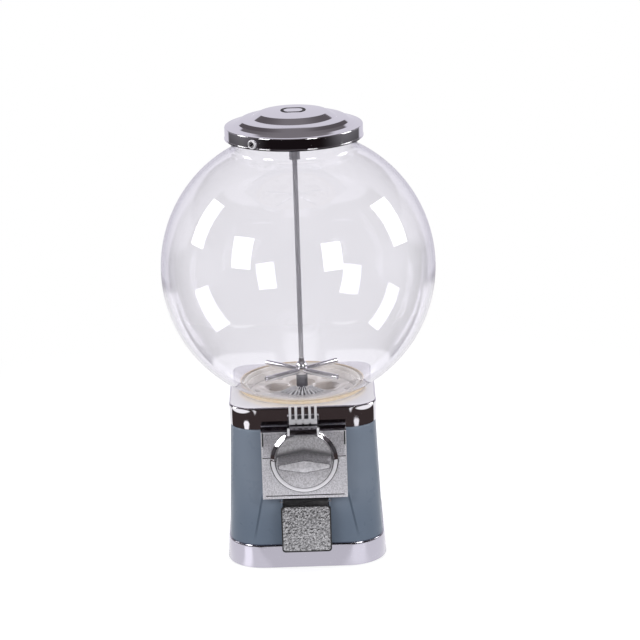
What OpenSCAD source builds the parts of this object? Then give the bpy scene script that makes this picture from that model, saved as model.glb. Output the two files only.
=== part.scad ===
// Coin-operated gumball machine with a round globe.
// Origin: centre of the base, on the surface it stands on. +Z up, front towards -Y.

/* [Globe] */
// Outer diameter of the clear globe
globe_d = 254; // [252:0.5:256]
// Height of the globe's centre above the ground
globe_z = 268.8; // [268.4:0.1:269.2]
// Wall thickness of the globe
globe_wall = 2.5; // [2:0.1:3]
// Outer radius of the globe's two necks
neck_r = 57.8; // [57.6:0.1:58]
// Height of the lower neck's end
neck_bottom_z = 155; // [154.9:0.1:155.2]
// Height of the upper neck's end
neck_top_z = 392.8; // [392.4:0.1:392.9]
// Radius of the fillet between upper neck and sphere
neck_fillet = 5; // [3:0.5:6]
// Height of the gasket's underside
gasket_z = 154.1; // [154:0.05:154.2]
// Height of the gasket
gasket_h = 3.7; // [3.4:0.1:4]

/* [Lid] */
// Outer radius of the lid's rim
lid_r = 63.6; // [63.4:0.1:64]
// Height of the rim's lower edge
lid_bottom_z = 391.9; // [391.7:0.1:392.1]
// Wall thickness of the lid
lid_wall = 1.6; // [1.4:0.1:1.8]
// Angle of the lock from the front, clockwise seen from above
lock_angle = 36; // [30:1:40]
// Height of the lock's axis
lock_z = 396.8; // [396.7:0.1:396.9]
// Radius of the lock's visible flange
lock_flange_r = 4.3; // [4.1:0.1:4.5]
// Angle from the lock to the lock bar
bar_offset_angle = 22; // [21:1:24]

/* [Rod] */
// Radius of the long centre rod
rod_r = 2.3; // [2.2:0.05:2.3]
// Width across the flats of the hex coupling at the rod's top
coupling_flats = 8.4; // [8:0.1:9]
// Height of the hex coupling's lower end
coupling_z = 373.8; // [370:0.2:376]

/* [Agitator] */
// Height of the stirring arms
arm_z = 168; // [166:0.5:170]
// Length of each arm from the axis
arm_length = 42; // [38:0.5:46]
// Radius of the arms
arm_r = 2.2; // [1.8:0.1:2.4]
// Angle of the arms from the left-right line
arm_angle = 38; // [30:1:45]

/* [Body] */
// Half width of the painted body at its top edge
body_half_top = 67; // [66.8:0.1:67.2]
// Half width of the painted body at its lower edge
body_half_bottom = 71.3; // [71.1:0.1:71.5]
// Height of the seam between body and collar
seam_z = 132.3; // [132.2:0.1:132.4]
// Wall thickness of the body
body_wall = 2; // [1.8:0.1:2]
// Height of the collar's top plane
collar_top_z = 153; // [152.8:0.1:153]
// Half width of the collar at its top
collar_half_top = 68.4; // [68.2:0.1:68.6]

/* [Base] */
// Half width of the base at the ground
base_half = 73.9; // [73.6:0.1:74.2]
// Half width of the base at its top edge
base_half_top = 72.4; // [72.3:0.1:72.6]
// Height of the base
base_h = 22.3; // [22.2:0.1:22.4]
// Spacing of the four holes for fixing to a stand
stand_pitch = 90; // [86:1:94]
// Radius of the stand holes
stand_hole_r = 2.75; // [2.5:0.05:3]

/* [Coin mechanism] */
// Height of the knob's axis
knob_z = 107; // [106.9:0.1:107.1]
// Front face of the cast plate
plate_y = -79; // [-79.2:0.1:-78.8]
// Half width of the cast plate
plate_half = 39; // [38.5:0.1:39.5]
// Lower edge of the cast plate
plate_bottom_z = 69.5; // [69.4:0.1:69.6]
// Upper edge of the cast plate
plate_top_z = 136; // [135.9:0.1:136.1]
// Radius of the knob's disc
knob_r = 26.1; // [25.6:0.1:26.4]
// How far the grip stands out of the disc
grip_h = 16; // [12:0.5:18]
// Outer radius of the ring around the knob
ring_r = 31; // [30.8:0.1:31.2]
// Radius of the knob's shaft
shaft_r = 4; // [3.9:0.05:4]

/* [Wheel] */
// Number of pockets in the gumball wheel
pockets = 6; // [6]
// Radius of each pocket
pocket_r = 12.5; // [12:0.1:12.6]
// Distance of the pockets from the axis
pocket_pitch_r = 27; // [26.8:0.1:27.2]
// Number of teeth in the crown under the wheel
crown_teeth = 30; // [30]
// Number of teeth of the drive gear
gear_teeth = 5; // [5]

/* [Door] */
// Half width of the chute door
door_half = 23; // [22.9:0.1:23.2]
// Lower edge of the door
door_bottom_z = 16.9; // [16:0.1:18]
// Upper edge of the door's plate
door_top_z = 62.3; // [62:0.1:62.4]
// Height of the hinge pin
hinge_z = 65.5; // [65.4:0.1:65.6]
// Depth position of the hinge pin
hinge_y = -75; // [-75.1:0.1:-74.9]

/* [Hidden] */
$fn = 96;

hull_fn = 32;             // segments of the circles inside a hull
slice = 0.01;             // thickness of the slices that a hull joins
gap = 0.3;                // space between parts that only lie near each other
run = 0.05;               // radial clearance of a running fit
seat = 0.02;              // radial clearance of a fixed pin in its hole
near = 0.1;               // space between parts that rest on each other
eps = 0.5;                // overshoot of a cut
deep = 30;                // depth of a cut that only has to pass through
front_y = -80;            // a plane in front of the body
inside_y = -60;           // a plane behind the body's front wall
m3_r = 1.5;               // small screws: shank, head and head height
m3_head_r = 2.8;
m3_head_h = 1.8;

// base and body corners
base_corner = 36;
base_corner_top = 32;
body_corner_bottom = 31;
body_corner_top = 28;
floor_t = 3;
shelf_corner = body_corner_bottom - 4;
lip_corner = body_corner_bottom - 2;
lip_gap_half = 24;
lip_gap_depth = 12;
shelf_half = 67.2;
shelf_t = 4;
lip_half = body_half_bottom - body_wall - gap;
lip_h = 3.7;
pan_half = 70;
boss_r = 10;
boss_h = 14;
nut_pocket_r = 6.5;
nut_pocket_h = 6.4;
nut_flats = 8;
nut_h = 4;
washer_t = 0.9;
body_slope = (body_half_bottom - body_half_top) / (seam_z - base_h);

// collar
collar_plate = 2.5;
collar_edge = 1.5;
collar_hole_r = 53.4;
collar_lip = 4.2;
collar_flare_h = 8;
collar_flare = 0.2;
collar_notch = 2;

// hopper, wheel and drive
cup_r = 52.8;
cup_wall = 1.8;
hopper_bottom_z = 108.5;
hopper_floor = 2;
well_r = 41.5;
well_z = 119.3;
flange_r = 58.3;
wheel_r = 49.8;
wheel_z = 119.6;
wheel_top_z = 146.6;
wheel_web_z = 121;
crown_in_r = 43.2;
crown_out_r = 48.8;
crown_tip_z = 111.8;
crown_root_t = 4.2;
crown_tip_t = 2.2;
gear_tip_r = 10.9;
gear_root_t = 3.4;
gear_tip_t = 1.7;
gear_core_r = 4.7;
gear_front_y = -49;
gear_back_y = -43.2;
gear_hub_y = -52;
gear_hub_r = 5.6;
drop_r = 13.2;
gear_slot_half = 13;
gear_slot_y = -56;
gear_slot_depth = 13.6;
wheel_plug_h = 4;
relief_r = 4;
relief_pitch_r = 44;
relief_floor = 4;
brush_z = wheel_top_z + 1.6;
brush_h = 3.4;
brush_in_r = 30;
bristle_r = 0.5;
bristle_z = wheel_top_z + 2.6;
bristle_start = 10;
bristle_length = 19.9;
bushing_r = 3.6;
bushing_z = wheel_top_z + near;
bushing_h = 5.4;
sleeve_r = 5.3;
sleeve_z = bushing_z + bushing_h;
sleeve_h = 11.8;
arm_core_r = 4.6;
arm_core_z = sleeve_z + sleeve_h + near;
arm_core_top_z = arm_z + 4;
hub_r = 5.8;
hub_h = 8;
rod_bottom_z = 1.2;
rod_top_z = 385;

// mechanism, front to back
knob_back_y = plate_y - 0.4;
knob_face_y = knob_back_y - 3.6;
grip_y = knob_face_y - grip_h;
grip_half = 24.7;
pocket_front_y = plate_y + 2.4;
coin_pocket_r = 29.6;
carrier_r = 28.8;
carrier_front_y = pocket_front_y + 0.3;
carrier_back_y = carrier_front_y + 3.4;
housing_front_y = carrier_back_y + 0.4;
housing_back_y = -54.5;
housing_half = 34.5;
housing_bottom_z = 73.5;
housing_top_z = 128.5;
housing_wall = 2;
coin_r = 12.4;
coin_centre_r = 17.3;
coin_slot_half = 12.6;
window_half = 13.5;
ring_in_r = 27.3;
ring_low = 2.4;
ring_high = 5;
ring_step = 0.8;
block_half = 14.4;
block_y = -86.5;
block_bottom_z = 133.1;
block_top_z = 138.6;
journal_r = 3;
journal_y = -54.2;
ratchet_teeth = 12;
ratchet_tip_r = 18.6;
ratchet_root_r = 16.6;
ratchet_y = -63.5;
ratchet_t = 3.5;
ratchet_lean = 2;
leaf_back_x = -27;
leaf_bend_x = -16;
leaf_tip_x = -0.9;
leaf_tip_z = 124;
leaf_top_z = 126.4;
leaf_t = 0.8;
pawl_screw_x = -22;
pawl_screw_r = 1.2;
clip_y = -60.5;
clip_z = 102;
clip_h = 14;
clip_t = 1.6;
clip_leg = 9;
clip_foot = 9.5;
screw_x = 29.8;
screw_low_z = 78;
screw_high_z = 124;
gear_pin_r = 0.8;
gear_pin_y = (gear_hub_y + gear_front_y) / 2 - 0.2;
grip_root = [9, 4];
grip_face = [6.6, 2.6];
shaft_start_y = grip_y + 10;

// door and chute
cheek_in = 21.2;
cheek_out = 22.8;
cheek_y = -76.4;
cheek_top_z = 68.8;
cheek_bottom_z = 25;
cheek_back_y = -68.5;
cheek_bevel = 1.4;
door_y = -79.5;
door_t = 2.5;
door_border = 1.3;
door_recess = 1;
door_round = 3.2;
door_cut = 2.6;
knuckle_half = 20.6;
knuckle_r = 2.6;
pin_r = 1.5;
chute_half = 18;
chute_wall = 1.6;
chute_foot_y = -26;
chute_screw_x = 5;
chute_shaft_front_y = -41.8;
chute_shaft_back_y = -11.4;
chute_top_z = 107.8;
chute_bend_z = 75.3;
chute_mouth_y = -72;
chute_mouth_low_z = 25.3;
chute_mouth_high_z = 62.6;
leg_half = 9;
leg_t = 2.2;

// lid and lock
neck_in_r = neck_r - globe_wall;
rim_t = 1.8;
rim_start_r = 60;
barrel_r = 3.5;
plug_r = 2.4;
barrel_in = 48;
cam_t = 1.5;
cam_length = 15;
cam_half = 2.5;
bar_t = 1.8;
bar_half_w = 9;
bar_web_z = 399.6;
bar_foot = 58.9;
bar_leg = 54;
bar_screw_head_h = 2.6;
inset_t = 0.9;
inset_seat = 0.5;
fin_in_r = 54.8;
fin_t = 1.6;
fin_top_z = 402.2;
flange_t = 0.9;
key_w = 0.8;
key_arm = 1.7;
key_depth = 2.7;
lid_profile = [
    [lid_r, lid_bottom_z], [lid_r, 402.7], [63, 403.3], [60, 403.5], [54.5, 404.6],
    [47.6, 408.8], [45.6, 409.6], [38.6, 410.6], [31.4, 414.2], [29, 414.9],
    [15, 416.2], [0, 416.6]
];
inset_size = [11.6, 9.4];
inset_z = 416.1;

function body_half_at(z) = body_half_bottom - body_slope * (z - base_h);

// ---------- shared shapes ----------

// Square of the given half width with round corners
module round_square(half, r) {
    square([2 * half, 2 * (half - r)], center = true);
    square([2 * (half - r), 2 * half], center = true);
    for (sx = [-1, 1], sy = [-1, 1])
        translate([sx * (half - r), sy * (half - r)]) circle(r);
}

// Block that changes evenly from one rounded square to another
module tapered_block(z0, half0, r0, z1, half1, r1) {
    hull() {
        translate([0, 0, z0])
            linear_extrude(slice) round_square(half0, r0, $fn = hull_fn);
        translate([0, 0, z1 - slice])
            linear_extrude(slice) round_square(half1, r1, $fn = hull_fn);
    }
}

// Outline in x and z, given depth towards the front from y_back
module toward_front(y_back, depth, z = 0) {
    translate([0, y_back, z]) rotate([90, 0, 0]) linear_extrude(depth) children();
}

// Round bar along Y between two depths
module y_bar(y_front, y_back, r, z = knob_z, x = 0) {
    translate([x, y_back, z]) rotate([90, 0, 0]) cylinder(r = r, h = y_back - y_front);
}

// Outline in y and z, drawn symmetrically across X
module across_x(half) {
    rotate([90, 0, 90]) linear_extrude(2 * half, center = true) children();
}

// Ring standing on z
module ring(z, h, r_out, r_in) {
    translate([0, 0, z]) difference() {
        cylinder(r = r_out, h = h);
        translate([0, 0, -eps]) cylinder(r = r_in, h = h + 2 * eps);
    }
}

// Hexagonal bar, given its width across the flats
module hex_bar(flats, h) {
    cylinder(r = flats / sqrt(3), h = h, $fn = 6);
}

// Pan-head screw with its head on z = 0 and its shank going down
module screw(shank_r, length, head_r, head_h) {
    translate([0, 0, -length]) cylinder(r = shank_r, h = length);
    difference() {
        cylinder(r = head_r, h = head_h);
        translate([0, 0, head_h / 2]) hex_bar(shank_r * 1.6, head_h);
    }
}

// Copies along the lock's axis, which points outwards along local +Z
module on_lock_axis() {
    rotate([0, 0, -lock_angle]) translate([0, 0, lock_z]) rotate([90, 0, 0]) children();
}

// ---------- base and body ----------

module base_pan() {
    color("silver")
    difference() {
        union() {
            difference() {
                tapered_block(0, base_half, base_corner, base_h, base_half_top, base_corner_top);
                translate([0, 0, floor_t])
                    linear_extrude(base_h - shelf_t - floor_t) round_square(pan_half, base_corner);
                translate([0, 0, floor_t])
                    linear_extrude(base_h) round_square(shelf_half, shelf_corner);
            }
            translate([0, 0, base_h - shelf_t / 2]) linear_extrude(lip_h + shelf_t / 2)
                difference() {
                    round_square(lip_half, lip_corner);
                    round_square(shelf_half, shelf_corner);
                }
            cylinder(r = boss_r, h = boss_h);
        }
        translate([0, 0, -eps]) cylinder(r = nut_pocket_r, h = nut_pocket_h + eps);
        cylinder(r = rod_r + gap, h = boss_h + eps);
        for (sx = [-1, 1], sy = [-1, 1])
            translate([sx * stand_pitch / 2, sy * stand_pitch / 2, -eps])
                cylinder(r = stand_hole_r, h = floor_t + 2 * eps);
        for (sx = [-1, 1])
            translate([sx * chute_screw_x, chute_foot_y, -eps])
                cylinder(r = m3_r + seat, h = floor_t + 2 * eps);
        translate([-lip_gap_half, -base_half, base_h])
            cube([2 * lip_gap_half, lip_gap_depth, base_h]);
    }
}

module base_washer() {
    color("gray") ring(nut_pocket_h - washer_t, washer_t, nut_pocket_r - gap, rod_r + near);
}

module base_nut() {
    color("dimgray") translate([0, 0, nut_pocket_h - washer_t - nut_h]) difference() {
        hex_bar(nut_flats, nut_h);
        translate([0, 0, -eps]) cylinder(r = rod_r + seat, h = nut_h + 2 * eps);
    }
}

// The two cheeks that carry the door's hinge pin
module door_cheeks() {
    cheek_w = cheek_out - cheek_in;
    for (s = [-1, 1]) translate([s * (cheek_in + cheek_out) / 2, 0, 0])
        across_x(cheek_w / 2) polygon([
            [cheek_back_y, cheek_bottom_z], [cheek_y, cheek_bottom_z],
            [cheek_y, cheek_top_z - cheek_bevel], [cheek_y + cheek_bevel, cheek_top_z],
            [cheek_back_y, cheek_top_z]
        ]);
}

module body_shell() {
    color("slategray")
    difference() {
        union() {
            difference() {
                tapered_block(base_h, body_half_bottom, body_corner_bottom,
                    seam_z, body_half_top, body_corner_top);
                tapered_block(base_h - eps, body_half_bottom - body_wall + body_slope * eps,
                    body_corner_bottom - body_wall,
                    seam_z + eps, body_half_top - body_wall - body_slope * eps,
                    body_corner_top - body_wall);
            }
            door_cheeks();
        }
        translate([-housing_half - 1, front_y, housing_bottom_z - 1])
            cube([2 * housing_half + 2, deep, housing_top_z - housing_bottom_z + 2]);
        translate([-cheek_in, front_y, cheek_bottom_z])
            cube([2 * cheek_in, deep, cheek_top_z - cheek_bottom_z]);
        translate([-cheek_out - eps, hinge_y, hinge_z]) rotate([0, 90, 0])
            cylinder(r = pin_r + seat, h = 2 * (cheek_out + eps));
    }
}

module top_collar() {
    z0 = seam_z + near;
    mid_z = collar_top_z - collar_flare_h;
    mid_half = body_half_top + collar_flare;
    color("gainsboro")
    difference() {
        union() {
            tapered_block(z0, body_half_top, body_corner_top, mid_z, mid_half, body_corner_top);
            tapered_block(mid_z - slice, mid_half, body_corner_top,
                collar_top_z - collar_edge, collar_half_top, body_corner_top);
            tapered_block(collar_top_z - collar_edge - slice, collar_half_top, body_corner_top,
                collar_top_z, collar_half_top - collar_edge, body_corner_top - collar_edge);
            translate([0, 0, z0 - collar_lip]) linear_extrude(collar_lip + slice)
                round_square(body_half_top - body_wall - 2 * gap, body_corner_top - body_wall - 1);
        }
        translate([0, 0, z0 - collar_lip - eps])
            linear_extrude(collar_top_z - collar_plate - z0 + collar_lip + eps)
                round_square(body_half_top - 2 * body_wall, body_corner_top - 2 * body_wall);
        translate([0, 0, z0]) cylinder(r = collar_hole_r, h = collar_top_z);
        translate([-housing_half - collar_notch, -body_half_top, z0 - collar_lip - eps])
            cube([2 * (housing_half + collar_notch), 20, collar_lip + eps]);
    }
}

// ---------- hopper, wheel and agitator ----------

module hopper() {
    flange_z = collar_top_z + near;
    bore_r = rod_r + 0.4;
    cup_in_r = cup_r - cup_wall;
    lip_z = gasket_z - near;
    color("wheat")
    difference() {
        rotate_extrude() polygon([
            [bore_r, well_z], [bore_r, well_z - hopper_floor],
            [well_r - hopper_floor, well_z - hopper_floor], [well_r - hopper_floor, hopper_bottom_z],
            [cup_r, hopper_bottom_z], [cup_r, flange_z], [flange_r, flange_z],
            [flange_r, lip_z], [cup_in_r, lip_z], [cup_in_r, hopper_bottom_z + hopper_floor],
            [well_r, hopper_bottom_z + hopper_floor], [well_r, well_z]
        ]);
        translate([0, -pocket_pitch_r, hopper_bottom_z]) cylinder(r = drop_r, h = deep);
        translate([-gear_slot_half, gear_slot_y, hopper_bottom_z - eps])
            cube([2 * gear_slot_half, gear_slot_depth, wheel_web_z + 1 - hopper_bottom_z + eps]);
    }
}

// One tooth of the crown, pointing down, reaching from the inner to the outer radius
module crown_tooth() {
    translate([crown_in_r, 0, 0]) rotate([90, 0, 90])
        linear_extrude(crown_out_r - crown_in_r) polygon([
            [-crown_root_t / 2, wheel_web_z], [crown_root_t / 2, wheel_web_z],
            [crown_tip_t / 2, crown_tip_z], [-crown_tip_t / 2, crown_tip_z]
        ]);
}

module gumball_wheel() {
    step = 360 / pockets;
    color("ivory")
    difference() {
        union() {
            translate([0, 0, wheel_z]) cylinder(r = well_r - 2 * gap, h = wheel_plug_h);
            translate([0, 0, wheel_web_z - slice])
                cylinder(r = wheel_r, h = wheel_top_z - wheel_web_z + slice);
            for (i = [0 : crown_teeth - 1])
                rotate([0, 0, -90 + (i + 0.5) * 360 / crown_teeth]) crown_tooth();
        }
        for (i = [0 : pockets - 1]) rotate([0, 0, -90 + i * step]) {
            translate([pocket_pitch_r, 0, wheel_z - eps])
                cylinder(r = pocket_r, h = wheel_top_z - wheel_z + 2 * eps);
            rotate([0, 0, step / 2]) translate([relief_pitch_r, 0, wheel_web_z + relief_floor])
                cylinder(r = relief_r, h = wheel_top_z);
        }
        translate([0, 0, wheel_z - eps]) cylinder(r = rod_r + run, h = wheel_top_z - wheel_z + 2 * eps);
    }
}

module brush_housing() {
    half_angle = 34;
    reach = 1.5 * cup_r;
    color("dimgray")
    intersection() {
        ring(brush_z, brush_h, cup_r - cup_wall - near, brush_in_r);
        rotate([0, 0, -90]) linear_extrude(brush_z + brush_h) polygon([
            [0, 0], [reach, -reach * tan(half_angle)], [reach, reach * tan(half_angle)]
        ]);
    }
}

module brush_bristles() {
    bristles = 13;
    spread = 50;
    color("white")
    for (i = [0 : bristles - 1])
        rotate([0, 0, -90 - spread / 2 + i * spread / (bristles - 1)])
            translate([bristle_start, 0, bristle_z])
                rotate([0, 90, 0]) cylinder(r = bristle_r, h = bristle_length, $fn = 8);
}

module rod_bushing() {
    color("black") ring(bushing_z, bushing_h, bushing_r, rod_r + run);
}

module agitator_sleeve() {
    color("darkslategray") ring(sleeve_z, sleeve_h, sleeve_r, rod_r + run);
}

module agitator_arms() {
    color("silver")
    difference() {
        union() {
            translate([0, 0, arm_core_z]) cylinder(r = arm_core_r, h = arm_core_top_z - arm_core_z);
            for (a = [arm_angle, 180 - arm_angle, 180 + arm_angle, -arm_angle])
                rotate([0, 0, a]) translate([0, 0, arm_z]) rotate([0, 90, 0])
                    cylinder(r = arm_r, h = arm_length);
        }
        translate([0, 0, arm_core_z - eps])
            cylinder(r = rod_r + run, h = arm_core_top_z - arm_core_z + 2 * eps);
    }
}

module agitator_hub() {
    color("gray")
    difference() {
        translate([0, 0, arm_core_top_z + 2 * near + hub_h / 2]) intersection() {
            sphere(r = hub_r);
            cylinder(r = hub_r + 1, h = hub_h, center = true);
        }
        translate([0, 0, arm_core_top_z]) cylinder(r = rod_r + run, h = 2 * hub_h);
    }
}

// ---------- rod, globe and lock bar ----------

module center_rod() {
    color("gray") translate([0, 0, rod_bottom_z])
        cylinder(r = rod_r, h = rod_top_z - rod_bottom_z);
}

module rod_coupling() {
    color("dimgray") translate([0, 0, coupling_z]) difference() {
        hex_bar(coupling_flats, bar_web_z - near - coupling_z);
        translate([0, 0, -eps]) cylinder(r = rod_r + seat, h = bar_web_z - coupling_z + 2 * eps);
    }
}

// Steel strip that bridges the neck, its web raised above the neck's end
module lock_bar() {
    foot_z = neck_top_z + near;
    color("silver")
    rotate([0, 0, -90 - lock_angle - bar_offset_angle]) difference() {
        rotate([90, 0, 0]) linear_extrude(2 * bar_half_w, center = true) polygon([
            [-bar_foot, foot_z], [-bar_leg + bar_t, foot_z], [-bar_leg + bar_t, bar_web_z],
            [bar_leg - bar_t, bar_web_z], [bar_leg - bar_t, foot_z], [bar_foot, foot_z],
            [bar_foot, foot_z + bar_t], [bar_leg, foot_z + bar_t], [bar_leg, bar_web_z + bar_t],
            [-bar_leg, bar_web_z + bar_t], [-bar_leg, foot_z + bar_t], [-bar_foot, foot_z + bar_t]
        ]);
        translate([0, 0, bar_web_z - eps]) cylinder(r = rod_r + gap, h = bar_t + 2 * eps);
    }
}

module bar_screw() {
    length = bar_web_z + bar_t + near - rod_top_z - near;
    color("gray") translate([0, 0, bar_web_z + bar_t + near])
        screw(rod_r, length, 2 * rod_r, bar_screw_head_h);
}

// Section of the globe, as wide as its outer (wall 0) or inner surface
module globe_section(wall) {
    r = globe_d / 2 - wall;
    neck = neck_r - wall;
    fillet = neck_fillet + wall;
    reach = r + fillet;
    rise = sqrt(reach * reach - (neck + fillet) * (neck + fillet));
    touch = r / reach;
    translate([0, globe_z]) circle(r);
    translate([-neck, neck_bottom_z - eps]) square([2 * neck, neck_top_z - neck_bottom_z + 2 * eps]);
    translate([0, globe_z]) difference() {
        polygon([[0, rise * touch], [(neck + fillet) * touch, rise * touch],
            [neck + fillet, rise], [0, rise]]);
        translate([neck + fillet, rise]) circle(fillet);
    }
}

module globe() {
    color("aliceblue", 0.3)
    rotate_extrude() intersection() {
        difference() {
            globe_section(0);
            globe_section(globe_wall);
        }
        translate([0, neck_bottom_z]) square([globe_d, neck_top_z - neck_bottom_z]);
    }
}

module globe_gasket() {
    inner = neck_in_r - 2.3;
    outer = neck_r + 1.6;
    seat_z = gasket_z + 0.7;
    brim_z = gasket_z + 1;
    color("burlywood") rotate_extrude() polygon([
        [inner, gasket_z], [outer, gasket_z], [outer, brim_z], [neck_r + gap + near, brim_z],
        [neck_r + gap + near, seat_z], [neck_in_r - gap, seat_z],
        [neck_in_r - gap, gasket_z + gasket_h], [inner, gasket_z + gasket_h]
    ]);
}

// ---------- lid and lock ----------

module lid() {
    fin_angles = [50, 90, 130, 205, 230, 270, 310, 335];
    fin_z = neck_top_z + 2 * near;
    slope_in = 0.4 * lid_wall;
    under = [for (p = lid_profile) if (p[0] < lid_r - near)
        [max(0, p[0] - (p[0] > rim_start_r ? rim_t : slope_in)), p[1] - lid_wall]];
    color("gainsboro")
    difference() {
        union() {
            rotate_extrude() polygon(concat(lid_profile,
                [for (i = [len(under) - 1 : -1 : 1]) under[i]],
                [[lid_r - rim_t, under[0][1] - slope_in], [lid_r - rim_t, lid_bottom_z]]));
            for (a = fin_angles)
                rotate([0, 0, a - 90 - lock_angle - bar_offset_angle])
                    translate([fin_in_r, -fin_t / 2, fin_z])
                    cube([lid_r - rim_t + eps - fin_in_r, fin_t, fin_top_z - fin_z]);
        }
        on_lock_axis() translate([0, 0, fin_in_r]) cylinder(r = barrel_r + seat, h = deep);
        translate([0, 0, inset_z - inset_seat - near])
            flat_oval(inset_size[0] + 2 * near, inset_size[1] + 2 * near, 2 * inset_t);
    }
}

// Low plate with a round outline cut flat at front and back
module flat_oval(half_x, half_y, h) {
    linear_extrude(h) intersection() {
        circle(half_x);
        square([2 * half_x, 2 * half_y], center = true);
    }
}

module lid_inset() {
    color("dimgray") translate([0, 0, inset_z - inset_seat])
        flat_oval(inset_size[0], inset_size[1], inset_t);
}

module lock_barrel() {
    color("silver") on_lock_axis() difference() {
        union() {
            translate([0, 0, barrel_in]) cylinder(r = barrel_r, h = lid_r + 2 * near - barrel_in);
            translate([0, 0, lid_r + near]) cylinder(r = lock_flange_r, h = flange_t);
        }
        translate([0, 0, barrel_in - eps]) cylinder(r = plug_r + run, h = deep);
    }
}

module lock_nut() {
    nut_t = 2.8;
    color("gray") on_lock_axis()
        ring(lid_r - rim_t - gap - nut_t, nut_t, 1.2 * barrel_r, barrel_r + seat);
}

module lock_plug() {
    color("dimgray") on_lock_axis() difference() {
        translate([0, 0, barrel_in - cam_t - gap])
            cylinder(r = plug_r, h = lid_r - gap - barrel_in + cam_t);
        translate([0, 0, lid_r - gap - key_depth]) for (a = [90, 210, 330])
            rotate([0, 0, a]) translate([0, -key_w / 2, 0]) cube([key_arm, key_w, 2 * key_depth]);
    }
}

// Flat tongue at the inner end of the lock, pointing away from the lock bar
module lock_cam() {
    color("silver") on_lock_axis() translate([0, 0, barrel_in - cam_t - 2 * near]) difference() {
        linear_extrude(cam_t) {
            circle(plug_r + 0.8);
            translate([0, -cam_half]) square([cam_length - cam_half, 2 * cam_half]);
            translate([cam_length - cam_half, 0]) circle(cam_half);
        }
        translate([0, 0, -eps]) cylinder(r = plug_r + seat, h = cam_t + 2 * eps);
    }
}

module cam_screw() {
    color("dimgray") on_lock_axis() translate([0, 0, barrel_in - cam_t - gap - cam_t])
        cylinder(r = 1.25 * plug_r, h = cam_t - near);
}

// ---------- coin mechanism ----------

module faceplate() {
    bevel = 1.3;
    back_top = -body_half_top - 2 * gap;
    back_bottom = -body_half_at(plate_bottom_z) - 2 * gap;
    room = gap + near;
    color("lightgray")
    difference() {
        across_x(plate_half) polygon([
            [plate_y, plate_bottom_z], [plate_y, plate_top_z - bevel],
            [plate_y + bevel, plate_top_z], [back_top, plate_top_z], [back_bottom, plate_bottom_z]
        ]);
        y_bar(pocket_front_y, inside_y, coin_pocket_r);
        y_bar(plate_y - eps, inside_y, shaft_r + gap);
        translate([-housing_half - room, housing_front_y - near, housing_bottom_z - room])
            cube([2 * (housing_half + room), deep, housing_top_z - housing_bottom_z + 2 * room]);
        translate([-coin_slot_half, pocket_front_y, knob_z])
            cube([2 * coin_slot_half, housing_front_y - pocket_front_y, plate_top_z - knob_z + eps]);
        for (sx = [-1, 1], z = [screw_low_z, screw_high_z])
            y_bar(plate_y + bevel, inside_y, m3_r + seat, z, sx * screw_x);
    }
}

// Flush ring below the axis, raised half ring above it, cut where the coin entry stands
module guard_ring() {
    color("gainsboro")
    difference() {
        union() {
            y_bar(plate_y - ring_low, plate_y - near, ring_r);
            intersection() {
                y_bar(plate_y - ring_high, plate_y - near, ring_r);
                translate([-ring_r, front_y - ring_high, knob_z + ring_step])
                    cube([2 * ring_r, deep, 2 * ring_r]);
            }
        }
        y_bar(plate_y - 2 * ring_high, plate_y + eps, ring_in_r);
        translate([-block_half - 2 * near, plate_y - 2 * ring_high, knob_z + ring_high])
            cube([2 * (block_half + 2 * near), deep, ring_r]);
    }
}

module coin_entry() {
    front_t = 3.1;
    nose = 1.4;
    back_y = -72.6;
    roof_z = plate_top_z + near;
    foot_z = block_bottom_z + 2 * gap;
    arc_r = 27.2;
    arc_t = 1.8;
    arc_half = 7.6;
    arc_rise = 2.3;
    arc_depth = 3;
    color("dimgray")
    difference() {
        across_x(block_half) polygon([
            [block_y, block_bottom_z], [block_y, block_top_z - nose],
            [block_y + nose, block_top_z], [back_y, block_top_z], [back_y, roof_z],
            [plate_y - near, roof_z], [plate_y - near, foot_z],
            [block_y + front_t, foot_z], [block_y + front_t, block_bottom_z]
        ]);
        translate([-coin_slot_half, pocket_front_y, plate_top_z - eps])
            cube([2 * coin_slot_half, housing_front_y - pocket_front_y - 2 * gap, deep]);
        toward_front(block_y + 2, arc_depth, knob_z + arc_rise) intersection() {
            difference() {
                circle(arc_r);
                circle(arc_r - arc_t);
            }
            translate([-arc_half, 0]) square([2 * arc_half, 2 * arc_r]);
        }
    }
}

// Five upright bars above the coin entry
module coin_guide() {
    bar_w = 2;
    bar_x = [-11.7, -6.3, 0, 6.3, 11.7];
    depth = 3.2;
    half = bar_x[4] + bar_w / 2;
    back_y = -collar_half_top - 0.8;
    strip_h = 5.4;
    top_z = collar_top_z + depth;
    foot_z = block_top_z + near;
    color("gainsboro") {
        translate([-half, back_y - depth, foot_z]) cube([2 * half, depth, strip_h]);
        for (x = bar_x)
            translate([x - bar_w / 2, back_y - depth, foot_z + strip_h - slice])
                cube([bar_w, depth, top_z - foot_z - strip_h]);
    }
}

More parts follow.
